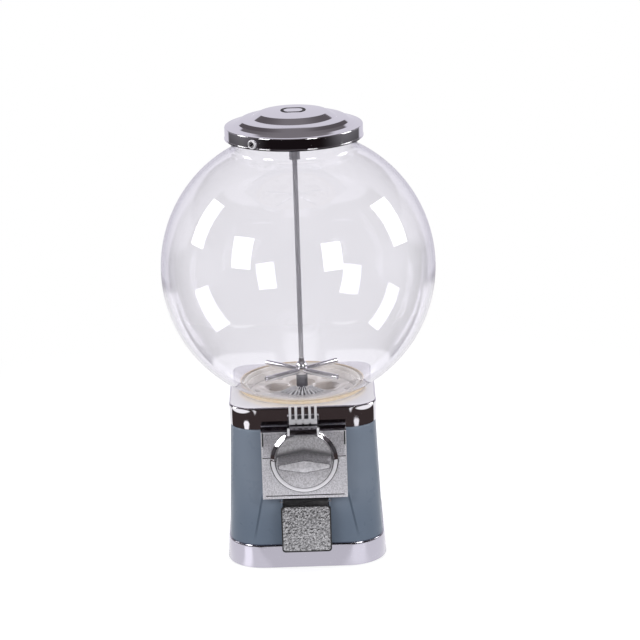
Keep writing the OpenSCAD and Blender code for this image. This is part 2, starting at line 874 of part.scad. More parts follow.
module mech_housing() {
    h = housing_top_z - housing_bottom_z;
    depth = housing_back_y - housing_front_y;
    window_h = 18;
    front_wall = housing_wall + 0.2;
    color("darkgray")
    difference() {
        translate([-housing_half, housing_front_y, housing_bottom_z])
            cube([2 * housing_half, depth, h]);
        translate([housing_wall - housing_half, housing_front_y + front_wall,
            housing_bottom_z + housing_wall])
            cube([2 * (housing_half - housing_wall), depth - front_wall - housing_wall,
                h - 2 * housing_wall]);
        y_bar(housing_front_y - eps, housing_back_y + eps, shaft_r + run);
        translate([-window_half, housing_front_y - eps, housing_bottom_z - eps])
            cube([2 * window_half, depth - housing_wall, window_h]);
        for (sx = [-1, 1], z = [screw_low_z, screw_high_z])
            y_bar(housing_front_y - eps, housing_front_y + front_wall + eps, m3_r + seat,
                z, sx * screw_x);
        for (sx = [-1, 1])
            translate([sx * housing_half, clip_y, clip_z]) rotate([0, 90, 0])
                cylinder(r = m3_r + seat, h = 4 * housing_wall, center = true);
        translate([pawl_screw_x, ratchet_y + ratchet_t / 2, housing_top_z])
            cylinder(r = pawl_screw_r + seat, h = 3 * housing_wall, center = true);
    }
}

module mech_screws() {
    color("gray")
    for (sx = [-1, 1], z = [screw_low_z, screw_high_z])
        translate([sx * screw_x, housing_front_y + housing_wall + gap, z]) rotate([-90, 0, 0])
            screw(m3_r, 6.5, 2, 1.6);
}

// Angle brackets that hold the mechanism against the inside of the body's wall
module mech_clips() {
    x0 = housing_half + near;
    y0 = clip_y - clip_leg / 2 - 0.4;
    color("silver")
    for (s = [-1, 1]) translate([0, 0, clip_z]) difference() {
        linear_extrude(clip_h, center = true) mirror([s < 0 ? 1 : 0, 0]) {
            translate([x0, y0]) square([clip_t, clip_leg]);
            translate([x0, y0]) square([clip_foot, clip_t]);
        }
        translate([s * x0, clip_y, 0]) rotate([0, 90, 0])
            cylinder(r = m3_r + seat, h = 5 * clip_t, center = true);
    }
}

module clip_screws() {
    color("gray")
    for (s = [-1, 1]) translate([s * (housing_half + clip_t + 2 * near), clip_y, clip_z])
        rotate([0, s * 90, 0]) screw(m3_r, 3.6, m3_head_r, m3_head_h);
}

// Grip outline: a long lozenge with rounded ends, widest at the axis
module grip_outline(half, tip) {
    polygon([[-grip_half, -tip], [0, -half], [grip_half, -tip],
        [grip_half, tip], [0, half], [-grip_half, tip]]);
}

module knob() {
    color("silver")
    difference() {
        union() {
            y_bar(knob_face_y, knob_back_y, knob_r);
            translate([0, knob_face_y + slice, knob_z]) rotate([90, 0, 0]) hull() {
                linear_extrude(slice) grip_outline(grip_root[0], grip_root[1]);
                translate([0, 0, grip_h]) linear_extrude(slice)
                    grip_outline(grip_face[0], grip_face[1]);
            }
        }
        y_bar(shaft_start_y, knob_back_y + eps, shaft_r + seat);
    }
}

module coin_carrier() {
    color("gray")
    difference() {
        y_bar(carrier_front_y, carrier_back_y, carrier_r);
        y_bar(carrier_front_y - eps, carrier_back_y + eps, shaft_r + seat);
        y_bar(carrier_front_y - eps, carrier_back_y + eps, coin_r, knob_z + coin_centre_r);
    }
}

module knob_shaft() {
    color("silver") {
        y_bar(shaft_start_y + 2 * near, journal_y, shaft_r);
        y_bar(journal_y - eps, gear_back_y, journal_r);
    }
}

module ratchet_wheel() {
    step = 360 / ratchet_teeth;
    color("dimgray")
    difference() {
        toward_front(ratchet_y + ratchet_t, ratchet_t, knob_z) polygon([
            for (i = [0 : ratchet_teeth - 1]) for (p = [[ratchet_tip_r, 0], [ratchet_root_r, ratchet_lean]])
                [p[0] * cos(90 + i * step + p[1]), p[0] * sin(90 + i * step + p[1])]
        ]);
        y_bar(ratchet_y - eps, ratchet_y + ratchet_t + eps, shaft_r + seat);
    }
}

// Leaf spring hung from the housing's ceiling, its tip behind a ratchet tooth
module ratchet_pawl() {
    color("lightsteelblue")
    difference() {
        toward_front(ratchet_y + ratchet_t, ratchet_t) polygon([
            [leaf_back_x, leaf_top_z], [leaf_bend_x, leaf_top_z],
            [leaf_tip_x, leaf_tip_z + leaf_t], [leaf_tip_x, leaf_tip_z],
            [leaf_bend_x, leaf_top_z - leaf_t], [leaf_back_x, leaf_top_z - leaf_t]
        ]);
        translate([pawl_screw_x, ratchet_y + ratchet_t / 2, leaf_tip_z])
            cylinder(r = pawl_screw_r + seat, h = deep);
    }
}

module pawl_screw() {
    color("gray") translate([pawl_screw_x, ratchet_y + ratchet_t / 2, housing_top_z + near])
        screw(pawl_screw_r, 4, 1.6 * pawl_screw_r, pawl_screw_r);
}

module drive_gear() {
    color("goldenrod")
    difference() {
        union() {
            toward_front(gear_back_y, gear_back_y - gear_front_y, knob_z)
                for (i = [0 : gear_teeth - 1]) rotate(i * 360 / gear_teeth) polygon([
                    [-gear_root_t / 2, 0], [gear_root_t / 2, 0], [gear_root_t / 2, gear_core_r],
                    [gear_tip_t / 2, gear_tip_r], [-gear_tip_t / 2, gear_tip_r],
                    [-gear_root_t / 2, gear_core_r]
                ]);
            y_bar(gear_front_y, gear_back_y, gear_core_r);
            y_bar(gear_hub_y, gear_front_y + slice, gear_hub_r);
        }
        y_bar(gear_hub_y - eps, gear_back_y + eps, journal_r + seat);
        translate([0, gear_pin_y, knob_z])
            cylinder(r = gear_pin_r + seat, h = deep, center = true);
    }
}

module gear_pin() {
    length = gear_hub_r - journal_r;
    color("gray") for (s = [-1, 1])
        translate([0, gear_pin_y, knob_z + s * ((gear_hub_r + journal_r) / 2 + 2 * near)])
            cylinder(r = gear_pin_r, h = length, center = true);
}

// ---------- chute and door ----------

module chute() {
    front = chute_shaft_front_y;
    back = chute_shaft_back_y;
    mouth = chute_mouth_y;
    low = chute_mouth_low_z;
    high = chute_mouth_high_z;
    t = chute_wall;
    outer = [[front, chute_top_z], [back, chute_top_z], [back, chute_bend_z],
        [mouth + 3.1, low], [mouth, low], [mouth, high], [mouth + 4, high + 3.8],
        [front, high + 9.3]];
    inner = [[front + t, chute_top_z + deep], [back - t, chute_top_z + deep],
        [back - t, chute_bend_z + t / 2], [mouth + 3.7, low + t], [mouth - t, low + t],
        [mouth - t, high - t], [mouth + 4.5, high + 2.3], [front + t, high + 7.7]];
    leg_z = floor_t + 2 * near;
    color("dimgray")
    difference() {
        union() {
            difference() {
                across_x(chute_half + chute_wall) polygon(outer);
                across_x(chute_half) polygon(inner);
            }
            translate([0, chute_foot_y, 0]) across_x(leg_half) polygon([
                [-10, leg_z], [8, leg_z], [8, leg_z + leg_t], [-8, leg_z + leg_t],
                [-8, 56.2], [-10, 54.4]
            ]);
        }
        for (s = [-1, 1]) translate([s * chute_screw_x, chute_foot_y, 0])
            cylinder(r = m3_r + seat, h = 2 * (leg_z + leg_t));
    }
}

module chute_screws() {
    color("gray") for (s = [-1, 1])
        translate([s * chute_screw_x, chute_foot_y, floor_t + leg_t + gap])
            screw(m3_r, floor_t + leg_t - near, m3_head_r, m3_head_h);
}

module door_pin() {
    half = cheek_out + 0.8;
    color("silver") translate([-half, hinge_y, hinge_z]) rotate([0, 90, 0])
        cylinder(r = pin_r, h = 2 * half);
}

// Door outline in x and z: round lower corners, cut upper corners
module door_outline(inset) {
    half = door_half - inset;
    low = door_bottom_z + inset;
    high = door_top_z - inset;
    r = door_round - inset / 2;
    cut = door_cut;
    polygon([[-half, low + r], [-half + r, low + r], [-half + r, low], [half - r, low],
        [half - r, low + r], [half, low + r], [half, high - cut], [half - cut, high],
        [-half + cut, high], [-half, high - cut]]);
    for (s = [-1, 1]) translate([s * (half - r), low + r]) circle(r);
}

module chute_door() {
    color("black")
    difference() {
        union() {
            toward_front(door_y + door_t, door_t) door_outline(0);
            across_x(knuckle_half) polygon([
                [door_y + door_t - near, door_top_z - 4.3], [door_y + door_recess, door_top_z - near],
                [hinge_y - 2.4, hinge_z + 0.9], [hinge_y, hinge_z + eps],
                [hinge_y, hinge_z - knuckle_r + 2 * near]
            ]);
            translate([-knuckle_half, hinge_y, hinge_z]) rotate([0, 90, 0])
                cylinder(r = knuckle_r, h = 2 * knuckle_half);
        }
        translate([-knuckle_half - eps, hinge_y, hinge_z]) rotate([0, 90, 0])
            cylinder(r = pin_r + run, h = 2 * knuckle_half + 2 * eps);
        toward_front(door_y + door_recess, door_t) door_outline(door_border - near);
    }
}

module door_panel() {
    color("silver") toward_front(door_y + door_recess - near, door_recess + 2 * near)
        door_outline(door_border);
}

base_pan();
base_washer();
base_nut();
body_shell();
top_collar();
hopper();
gumball_wheel();
brush_housing();
brush_bristles();
rod_bushing();
agitator_sleeve();
agitator_arms();
agitator_hub();
center_rod();
rod_coupling();
lock_bar();
bar_screw();
globe();
globe_gasket();
lid();
lid_inset();
lock_barrel();
lock_nut();
lock_plug();
lock_cam();
cam_screw();
faceplate();
guard_ring();
coin_entry();
coin_guide();
mech_housing();
mech_screws();
mech_clips();
clip_screws();
knob();
coin_carrier();
knob_shaft();
ratchet_wheel();
ratchet_pawl();
pawl_screw();
drive_gear();
gear_pin();
chute();
chute_screws();
door_pin();
chute_door();
door_panel();
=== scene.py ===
# Gumball machine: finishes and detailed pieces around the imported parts.
# Lengths are in millimetres here and become metres when a mesh or a lamp is made.
import math
from types import SimpleNamespace

import bmesh
import bpy
import numpy as np
from mathutils import Matrix


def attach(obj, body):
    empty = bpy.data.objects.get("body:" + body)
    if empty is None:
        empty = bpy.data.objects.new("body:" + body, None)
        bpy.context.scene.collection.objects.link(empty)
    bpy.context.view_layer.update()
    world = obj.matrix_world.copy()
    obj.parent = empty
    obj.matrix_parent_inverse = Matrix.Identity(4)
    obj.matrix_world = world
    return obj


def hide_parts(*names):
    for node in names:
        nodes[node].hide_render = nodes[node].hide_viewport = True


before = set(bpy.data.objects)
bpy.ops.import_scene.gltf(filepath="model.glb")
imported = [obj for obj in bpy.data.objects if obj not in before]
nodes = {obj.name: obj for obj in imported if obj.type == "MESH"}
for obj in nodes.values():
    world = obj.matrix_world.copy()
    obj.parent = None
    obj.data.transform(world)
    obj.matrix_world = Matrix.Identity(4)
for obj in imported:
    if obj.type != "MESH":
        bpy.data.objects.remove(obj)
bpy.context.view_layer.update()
scene = bpy.context.scene
mm = 0.001
fullTurn = 2 * np.pi
print("frame loaded:", len(nodes), "nodes")


# Lets a dictionary's entries be read as names.
def named(entries):
    return SimpleNamespace(**entries)


# Unit vector at an azimuth a from the front and an elevation e, both in degrees:
# (sin a cos e, -cos a cos e, sin e).
def toward(azimuth, elevation):
    a, e = math.radians(azimuth), math.radians(elevation)
    return np.array([math.sin(a) * math.cos(e), -math.cos(a) * math.cos(e), math.sin(e)])


# Links an object. Its axes are the first three columns of its matrix and its place is the fourth.
def putAt(thing, axes, place):
    scene.collection.objects.link(thing)
    matrix = np.eye(4)
    matrix[:3, :3] = np.stack(axes, 1)
    matrix[:3, 3] = np.asarray(place, float) * mm
    thing.matrix_world = Matrix(matrix.tolist())


# ---- camera, studio and lamps

shot = {
    "target": (18.538, 0.0, 216.387),
    "elevation": 16.385,
    "azimuth": -0.086,
    "roll": -1.801,
    "distance": 2500.0,
    "lens": 151.07,
    "sensor": 36.0,
}


# Stands off the target along the line towards it and turns about that line by the roll r:
# x = right cos r + up sin r, y = up cos r - right sin r.
def makeCamera(shot):
    backward = toward(shot.azimuth, shot.elevation)
    right = np.cross(-backward, (0, 0, 1))
    right /= np.linalg.norm(right)
    up = np.cross(right, -backward)
    roll = math.radians(shot.roll)
    cos, sin = math.cos(roll), math.sin(roll)
    axes = [right * cos + up * sin, up * cos - right * sin, backward]
    data = bpy.data.cameras.new("camera")
    data.lens = shot.lens
    data.sensor_width = shot.sensor
    camera = bpy.data.objects.new("camera", data)
    putAt(camera, axes, np.array(shot.target) + backward * shot.distance)
    scene.camera = camera


makeCamera(named(shot))
scene.view_settings.view_transform = "Standard"


# Adds a node and sets its properties.
def addNode(tree, kind, **settings):
    node = tree.nodes.new(kind)
    for key, value in settings.items():
        setattr(node, key, value)
    return node


# Puts a socket or a plain value into an input.
def feed(tree, socket, value):
    if isinstance(value, bpy.types.NodeSocket):
        tree.links.new(value, socket)
    else:
        socket.default_value = value


# One step of arithmetic on sockets or plain values.
def calc(tree, operation, first, second=0.0, third=0.0, clamp=False):
    node = addNode(tree, "ShaderNodeMath", operation=operation, use_clamp=clamp)
    for socket, value in zip(node.inputs, (first, second, third)):
        feed(tree, socket, value)
    return node.outputs[0]


# Product of all the values.
def times(tree, product, *others):
    for other in others:
        product = calc(tree, "MULTIPLY", product, other)
    return product


# The x, y and z of a vector, or else of the object's own coordinates.
def parts(tree, vector=None):
    if vector is None:
        vector = addNode(tree, "ShaderNodeTexCoord").outputs["Object"]
    split = addNode(tree, "ShaderNodeSeparateXYZ")
    tree.links.new(vector, split.inputs[0])
    return split.outputs["X"], split.outputs["Y"], split.outputs["Z"]


# Dot product of a vector with a fixed direction.
def dotWith(tree, vector, direction):
    node = addNode(tree, "ShaderNodeVectorMath", operation="DOT_PRODUCT")
    tree.links.new(vector, node.inputs[0])
    node.inputs[1].default_value = direction
    return node.outputs["Value"]


# Rises smoothly from 0 to 1 while value goes from low to high.
def ramp(tree, value, low, high):
    node = addNode(tree, "ShaderNodeMapRange", interpolation_type="SMOOTHSTEP")
    feed(tree, node.inputs["Value"], value)
    feed(tree, node.inputs["From Min"], low)
    feed(tree, node.inputs["From Max"], high)
    return node.outputs["Result"]


# Mixes two colours: first * (1 - share) + second * share.
def blendColor(tree, share, first, second):
    node = addNode(tree, "ShaderNodeMix", data_type="RGBA")
    feed(tree, node.inputs["Factor"], share)
    feed(tree, node.inputs[6], first)
    feed(tree, node.inputs[7], second)
    return node.outputs[2]


# Surface that only shines, by colour and strength.
def emission(tree, color=(1, 1, 1, 1), strength=1.0):
    node = addNode(tree, "ShaderNodeEmission")
    feed(tree, node.inputs["Color"], color)
    feed(tree, node.inputs["Strength"], strength)
    return node.outputs[0]


# Mixes two shaders by a share, as blendColor does colours.
def mixShaders(tree, share, first, second):
    node = addNode(tree, "ShaderNodeMixShader")
    for socket, value in zip(node.inputs, (share, first, second)):
        feed(tree, socket, value)
    return node.outputs[0]


studio = {
    "panels": [  # brightness, then four corners as azimuth from the front and elevation, in degrees
        (7.0, (-115.7, 34.4), (-97.8, 40.5), (-91.1, 12.0), (-106.7, 9.5)),
        (7.0, (-63.4, 31.2), (-43.2, 34.5), (-40.9, 10.0), (-58.0, 8.8)),
        (7.0, (22.6, 32.2), (41.5, 30.5), (38.7, 8.8), (21.8, 9.2)),
        (7.0, (95.1, 38.4), (117.9, 29.6), (109.6, 5.9), (91.9, 9.6)),
        (0.14, (-103.0, -8.0), (-91.0, -8.0), (-91.0, -24.0), (-103.0, -24.0)),
        (0.2, (85.5, -8.0), (88.5, -8.0), (88.5, -24.0), (85.5, -24.0)),
        (0.035, (40.0, -8.0), (64.0, -8.0), (64.0, -24.0), (40.0, -24.0)),
    ],
    "backdrop": (0.72, 0.70, 0.78, 1),
    "ceiling": (0.21, 0.195, 0.21, 1),
    "ceilingSide": (0.11, 0.098, 0.108, 1),
    "room": (0.010, 0.007, 0.008, 1),
    "sideWall": (0.42, 0.41, 0.44, 1),
    "ceilingFrom": 37.0,
    "ceilingAside": 16.0,
    "backdropFrom": 138.0,
    "ambient": (0.62, 0.62, 0.64, 1),
    "panelEdge": (-0.004, 0.006),  # the ramps run between these values
    "backdropEdge": 0.04,
    "ceilingEdge": 0.03,
    "ceilingTurn": (0.2, 0.45),
    "ceilingShade": (0.1, 0.45),
    "sideTurn": (-0.75, 0.2),
    "sideRise": (-0.3, 0.1),
}


# One lit panel seen from afar: the product of four ramps, each rising across the great circle that goes
# through two neighbouring corners.
def panelMask(tree, direction, corners):
    points = [toward(*corner) for corner in corners]
    middle = sum(points)
    below, above = studio["panelEdge"]
    mask = 1.0
    for first, second in zip(points, points[1:] + points[:1]):
        side = np.cross(first, second)
        side *= np.sign(side @ middle) / np.linalg.norm(side)
        mask = times(tree, mask, ramp(tree, dotWith(tree, direction, side), below, above))
    return mask


# Tells rays that a shiny surface has mirrored from those that come from the eye, straight or through glass.
def raySorts(tree):
    path = addNode(tree, "ShaderNodeLightPath").outputs
    mirrored = calc(tree, "GREATER_THAN", path["Glossy Depth"], 0.5)
    scattered = calc(tree, "GREATER_THAN", path["Diffuse Depth"], 0.5)
    unscattered = calc(tree, "SUBTRACT", 1.0, scattered)
    seen = calc(tree, "ADD", path["Is Camera Ray"], path["Is Transmission Ray"], clamp=True)
    direct = times(tree, seen, unscattered, calc(tree, "SUBTRACT", 1.0, mirrored))
    return times(tree, mirrored, unscattered), direct


# Surroundings as polished metal sees them: dark room, side walls, backdrop, ceiling and lit panels, each
# laid over the last by a ramp in the ray's direction. Other rays meet plain grey, and the eye sees white.
def makeWorld(studio):
    world = bpy.data.worlds.new("studio")
    world.use_nodes = True
    world.cycles.sampling_method = "NONE"
    scene.world = world
    tree = world.node_tree
    tree.nodes.clear()
    direction = addNode(tree, "ShaderNodeTexCoord").outputs["Generated"]
    across, along, height = parts(tree, direction)
    level = calc(tree, "SQRT", calc(tree, "SUBTRACT", 1.0, times(tree, height, height)))
    behind = calc(tree, "DIVIDE", along, calc(tree, "MAXIMUM", level, 0.001))
    turn, soft = -math.cos(math.radians(studio.backdropFrom)), studio.backdropEdge
    toBackdrop = ramp(tree, behind, turn - soft, turn + soft)
    high, low = (math.sin(math.radians(angle)) for angle in (studio.ceilingFrom, studio.ceilingAside))
    aside = calc(tree, "ABSOLUTE", across)
    limit = calc(tree, "MULTIPLY_ADD", ramp(tree, aside, *studio.ceilingTurn), low - high, high)
    soft = studio.ceilingEdge
    toCeiling = ramp(tree, calc(tree, "SUBTRACT", height, limit), -soft, soft)
    ceiling = blendColor(tree, ramp(tree, aside, *studio.ceilingShade), studio.ceiling, studio.ceilingSide)
    toSide = times(tree, ramp(tree, behind, *studio.sideTurn), ramp(tree, height, *studio.sideRise))
    color = blendColor(tree, toSide, studio.room, studio.sideWall)
    color = blendColor(tree, toBackdrop, color, studio.backdrop)
    color = blendColor(tree, toCeiling, color, ceiling)
    for glow, *corners in studio.panels:
        color = blendColor(tree, panelMask(tree, direction, corners), color, (glow, glow, glow, 1))
    mirrored, direct = raySorts(tree)
    color = blendColor(tree, mirrored, studio.ambient, color)
    background = addNode(tree, "ShaderNodeBackground")
    tree.links.new(blendColor(tree, direct, color, (1, 1, 1, 1)), background.inputs["Color"])
    output = addNode(tree, "ShaderNodeOutputWorld")
    tree.links.new(background.outputs[0], output.inputs["Surface"])


makeWorld(named(studio))

floorLook = {
    "radius": 6000.0,
    "steps": 96,
    "height": -0.3,
    "albedo": (0.46, 0.46, 0.47, 1),
    "shadowReach": (260.0, 700.0),
    "mirrorPatches": [  # brightness, widest and narrowest angle from straight ahead, nearest, farthest, blur
        (1.0, (14.0, None), 0.0, 400.0, 30.0), (1.0, (None, None), 0.0, 177.0, 9.0),
        (1.15, (None, 24.0), 0.0, 245.0, 12.0), (1.5, (120.0, 106.0), 0.0, 185.0, 12.0),
        (1.0, (None, 122.0), 0.0, 900.0, 100.0),
    ],
    "mirrorStrips": [  # brightness, four corners as x and y, blur
        (1.3, (-360.0, -262.0), (-303.0, -338.0), (-285.0, -408.0), (-424.0, -238.0), 8.0),
        (1.2, (225.0, -405.0), (305.0, -340.0), (372.0, -332.0), (205.0, -466.0), 9.0),
        (1.8, (-60.5, -66.0), (-52.0, -70.5), (-104.0, -132.0), (-117.0, -92.0), 3.5),
        (1.45, (40.0, -75.0), (56.0, -68.0), (108.0, -111.0), (56.0, -163.0), 7.0),
    ],
    "mirrorGlow": (0.93, 0.92, 0.95, 1),
    "mirrorEdge": (0.046, 0.034, 0.034, 1),
    "mirrorFade": (700.0, 1100.0),
    "mirrorTurn": 0.02,
    "lift": 0.68,
    "bounce": 0.42,
}


# A colour times a brightness.
def brighter(color, glow):
    return (*(value * glow for value in color[:3]), 1)


# One on the inner side of all four edges of a strip on the floor, fading to zero across each edge.
def stripMask(tree, across, along, corners, blur):
    points = np.array(corners)
    middle = points.mean(0)
    mask = 1.0
    for first, second in zip(points, np.roll(points, -1, 0)):
        inward = np.array([first[1] - second[1], second[0] - first[0]])
        inward *= np.sign(inward @ (middle - first)) / np.linalg.norm(inward)
        reach = calc(tree, "MULTIPLY_ADD", along, float(inward[1]), float(-(inward @ first)) * mm)
        reach = calc(tree, "MULTIPLY_ADD", across, float(inward[0]), reach)
        mask = times(tree, mask, ramp(tree, reach, -blur * mm, blur * mm))
    return mask


# A disc's sector between two angles from straight ahead and two distances, as a product of ramps.
def patchMask(tree, ahead, distance, angles, nearest, farthest, blur):
    patch = ramp(tree, distance, (farthest + blur) * mm, (farthest - blur) * mm)
    if nearest > 0:
        patch = times(tree, patch, ramp(tree, distance, (nearest - blur) * mm, (nearest + blur) * mm))
    for angle, soft in zip(angles, (floorLook["mirrorTurn"], -floorLook["mirrorTurn"])):
        if angle is not None:
            edge = math.cos(math.radians(angle))
            patch = times(tree, patch, ramp(tree, ahead, edge - soft, edge + soft))
    return patch


# A wide disc: white to the eye, with the object's soft shadow close to it. Polished metal sees it dark,
# apart from patches and strips that are bright.
def makeFloor(shape):
    angle = np.linspace(0, fullTurn, shape.steps, endpoint=False)
    points = np.stack([np.cos(angle), np.sin(angle), 0 * angle], 1) * shape.radius + (0, 0, shape.height)
    mesh = bpy.data.meshes.new("floor")
    mesh.from_pydata((points * mm).tolist(), [], [list(range(shape.steps))])
    floor = bpy.data.objects.new("floor", mesh)
    scene.collection.objects.link(floor)
    material = bpy.data.materials.new("floor")
    material.use_nodes = True
    tree = material.node_tree
    tree.nodes.clear()
    place = addNode(tree, "ShaderNodeTexCoord").outputs["Object"]
    across, along, _ = parts(tree, place)
    length = addNode(tree, "ShaderNodeVectorMath", operation="LENGTH")
    tree.links.new(place, length.inputs[0])
    distance = length.outputs["Value"]
    mirrored, direct = raySorts(tree)
    diffuse = addNode(tree, "ShaderNodeBsdfDiffuse")
    diffuse.inputs["Color"].default_value = shape.albedo
    lifted = addNode(tree, "ShaderNodeAddShader")
    tree.links.new(diffuse.outputs[0], lifted.inputs[0])
    tree.links.new(emission(tree, strength=times(tree, direct, shape.lift)), lifted.inputs[1])
    white = emission(tree, strength=calc(tree, "MAXIMUM", direct, shape.bounce))
    near, far = (v * mm for v in shape.shadowReach)
    ground = mixShaders(tree, ramp(tree, distance, near, far), lifted.outputs[0], white)
    ahead = calc(tree, "DIVIDE", times(tree, along, -1.0), distance)
    tone = shape.mirrorEdge
    for glow, angles, nearest, farthest, blur in shape.mirrorPatches:
        patch = patchMask(tree, ahead, distance, angles, nearest, farthest, blur)
        tone = blendColor(tree, patch, tone, brighter(shape.mirrorGlow, glow))
    for glow, *corners, blur in shape.mirrorStrips:
        strip = stripMask(tree, across, along, corners, blur)
        tone = blendColor(tree, strip, tone, brighter(shape.mirrorGlow, glow))
    clear = addNode(tree, "ShaderNodeBsdfTransparent").outputs[0]
    near, far = (v * mm for v in shape.mirrorFade)
    mirror = mixShaders(tree, ramp(tree, distance, near, far), emission(tree, tone), clear)
    output = addNode(tree, "ShaderNodeOutputMaterial")
    tree.links.new(mixShaders(tree, mirrored, ground, mirror), output.inputs["Surface"])
    material.cycles.emission_sampling = "NONE"
    floor.data.materials.append(material)


makeFloor(named(floorLook))

lamps = {
    "leftBox": {"at": (-1150, -1050, 950), "size": 700, "power": 8.6},
    "rightBox": {"at": (1150, -950, 900), "size": 700, "power": 7.8},
    "topBox": {"at": (-100, 250, 1750), "size": 1100, "power": 9.6},
    "backBox": {"at": (300, 1400, 900), "size": 900, "power": 4.8},
}
lampAim = 200.0


# Square lamp that faces a point on the object's axis: its z points from there, and its x lies level.
def makeLamp(name, at, size, power):
    data = bpy.data.lights.new(name, "AREA")
    data.shape = "SQUARE"
    data.size = size * mm
    data.energy = power
    lamp = bpy.data.objects.new(name, data)
    backward = np.array(at, float) - (0.0, 0.0, lampAim)
    backward /= np.linalg.norm(backward)
    right = np.cross((0, 0, 1), backward)
    right /= np.linalg.norm(right)
    putAt(lamp, [right, np.cross(backward, right), backward], at)
    for way in ("camera", "glossy", "transmission"):
        setattr(lamp, "visible_" + way, False)


for lampName, lamp in lamps.items():
    makeLamp(lampName, **lamp)
print("camera, studio and", len(lamps), "lamps")


# ---- shapes

# Points (cos t, sin t).
def onCircle(angle):
    return np.stack([np.cos(angle), np.sin(angle)], 1)


# Quads between the neighbours of a grid of points: each row is closed, and the last row may meet the first.
def gridFaces(rows, columns, closeRows=True):
    i, j = np.meshgrid(np.arange(rows if closeRows else rows - 1), np.arange(columns), indexing="ij")
    iNext, jNext = (i + 1) % rows, (j + 1) % columns
    corners = (i * columns + j, i * columns + jNext, iNext * columns + jNext, iNext * columns + j)
    return np.stack(corners, -1).reshape(-1, 4).tolist()


# Quads between open rows, with a flat face on the first row and on the last.
def cappedFaces(rows, columns):
    last = (rows - 1) * columns
    faces = gridFaces(rows, columns, closeRows=False)
    return faces + [list(range(columns))[::-1], list(range(last, last + columns))]


# Outline with each corner replaced by an arc that touches both sides at radius / tan(half), where half is
# half the angle between the sides.
def roundCorners(corners, radius, steps=5, closed=True):
    corners = np.asarray(corners, float)
    radius = np.broadcast_to(np.asarray(radius, float), len(corners)).copy()
    if not closed:
        radius[[0, -1]] = 0
    back = np.roll(corners, 1, 0) - corners
    ahead = np.roll(corners, -1, 0) - corners
    backLength = np.maximum(np.linalg.norm(back, axis=1), 1e-9)
    aheadLength = np.maximum(np.linalg.norm(ahead, axis=1), 1e-9)
    back, ahead = back / backLength[:, None], ahead / aheadLength[:, None]
    half = 0.5 * np.arccos(np.clip((back * ahead).sum(1), -0.999999, 0.999999))
    cut = np.minimum(radius / np.tan(half), 0.49 * np.minimum(backLength, aheadLength))
    cut = np.maximum(cut, 1e-5)
    middle = back + ahead
    middle /= np.maximum(np.linalg.norm(middle, axis=1), 1e-9)[:, None]
    centre = corners + middle * (cut / np.cos(half))[:, None]
    start, end = corners + back * cut[:, None] - centre, corners + ahead * cut[:, None] - centre
    sweep = (np.pi - 2 * half)[:, None, None]
    t = np.linspace(0, 1, steps + 1)[None, :, None]
    arc = (start[:, None] * np.sin((1 - t) * sweep) + end[:, None] * np.sin(t * sweep)) / np.sin(sweep)
    points = centre[:, None] + arc
    sharp = radius < 1e-6
    points[sharp] = corners[sharp][:, None]
    points = points.reshape(-1, 2)
    keep = np.ones(len(points), bool)
    keep[1:] = np.linalg.norm(np.diff(points, axis=0), axis=1) > 1e-6
    return points[keep]


# Circle of n points: (r cos t, r sin t) round its centre.
def circleOutline(radius, steps=96, centre=(0.0, 0.0)):
    angle = np.linspace(0, fullTurn, steps, endpoint=False)
    return onCircle(angle) * radius + centre


# A radius r and a height z at an angle t: (r cos t, r sin t, z).
def swung(radius, height, angle):
    points = np.stack([radius * np.cos(angle), radius * np.sin(angle), height + 0 * angle], -1)
    return points.reshape(-1, 3)


# Profile of radius and height turned about Z.
def turned(profile, steps=128, closed=True):
    radius, height = np.asarray(profile, float).T[:, :, None]
    angle = np.linspace(0, fullTurn, steps, endpoint=False)
    return swung(radius, height, angle), gridFaces(len(profile), steps, closed)


# Outline pulled inwards along its own normals.
def pulledIn(outline, amount):
    along = np.roll(outline, -1, 0) - np.roll(outline, 1, 0)
    normal = np.stack([along[:, 1], -along[:, 0]], 1)
    normal /= np.maximum(np.linalg.norm(normal, axis=1), 1e-9)[:, None]
    area = (outline[:, 0] * np.roll(outline[:, 1], -1) - np.roll(outline[:, 0], -1) * outline[:, 1]).sum()
    return outline - normal * amount * np.sign(area)


# Points (u, v, w) of outlines (u, v) at depths w.
def stacked(outlines, depths):
    count = len(outlines[0])
    return np.concatenate([np.column_stack([o, np.full(count, w)]) for o, w in zip(outlines, depths)])


# Stack of outlines closed by a flat face at both ends.
def lofted(outlines, depths):
    return stacked(outlines, depths), cappedFaces(len(outlines), len(outlines[0]))


# Stack of outlines whose last joins the first, so that an inner stack closes an outer one.
def looped(outlines, depths):
    return stacked(outlines, depths), gridFaces(len(outlines), len(outlines[0]))


# Round bar between two depths.
def roundBar(radius, low, high, steps=48, centre=(0.0, 0.0)):
    return lofted([circleOutline(radius, steps, centre)] * 2, [low, high])


# Section of radius and height carried round Z from one angle to another, in degrees.
def carried(section, start, end, steps):
    angle = np.radians(np.linspace(start, end, steps))[:, None]
    return swung(section[:, 0], section[:, 1], angle), cappedFaces(steps, len(section))


# Plate between two depths whose edges are quarter circles: at e (1 - sin t) from the end it is pulled in
# by e (1 - cos t).
def slab(outline, low, high, edge=0.4, lowEdge=None, steps=4):
    lowEdge = edge if lowEdge is None else lowEdge
    quarter = np.linspace(0, np.pi / 2, steps)
    outlines, depths = [], []
    for t in quarter[::-1] if lowEdge > 0 else quarter[:1]:
        outlines.append(pulledIn(outline, lowEdge * (1 - math.cos(t))))
        depths.append(low + lowEdge * (1 - math.sin(t)))
    for t in quarter if edge > 0 else quarter[:1]:
        outlines.append(pulledIn(outline, edge * (1 - math.cos(t))))
        depths.append(high - edge * (1 - math.sin(t)))
    return lofted(outlines, depths)


# Rectangle by its centre and half sizes.
def rectangle(halfU, halfV, centre=(0.0, 0.0)):
    return np.array([(-halfU, -halfV), (halfU, -halfV), (halfU, halfV), (-halfU, halfV)]) + centre


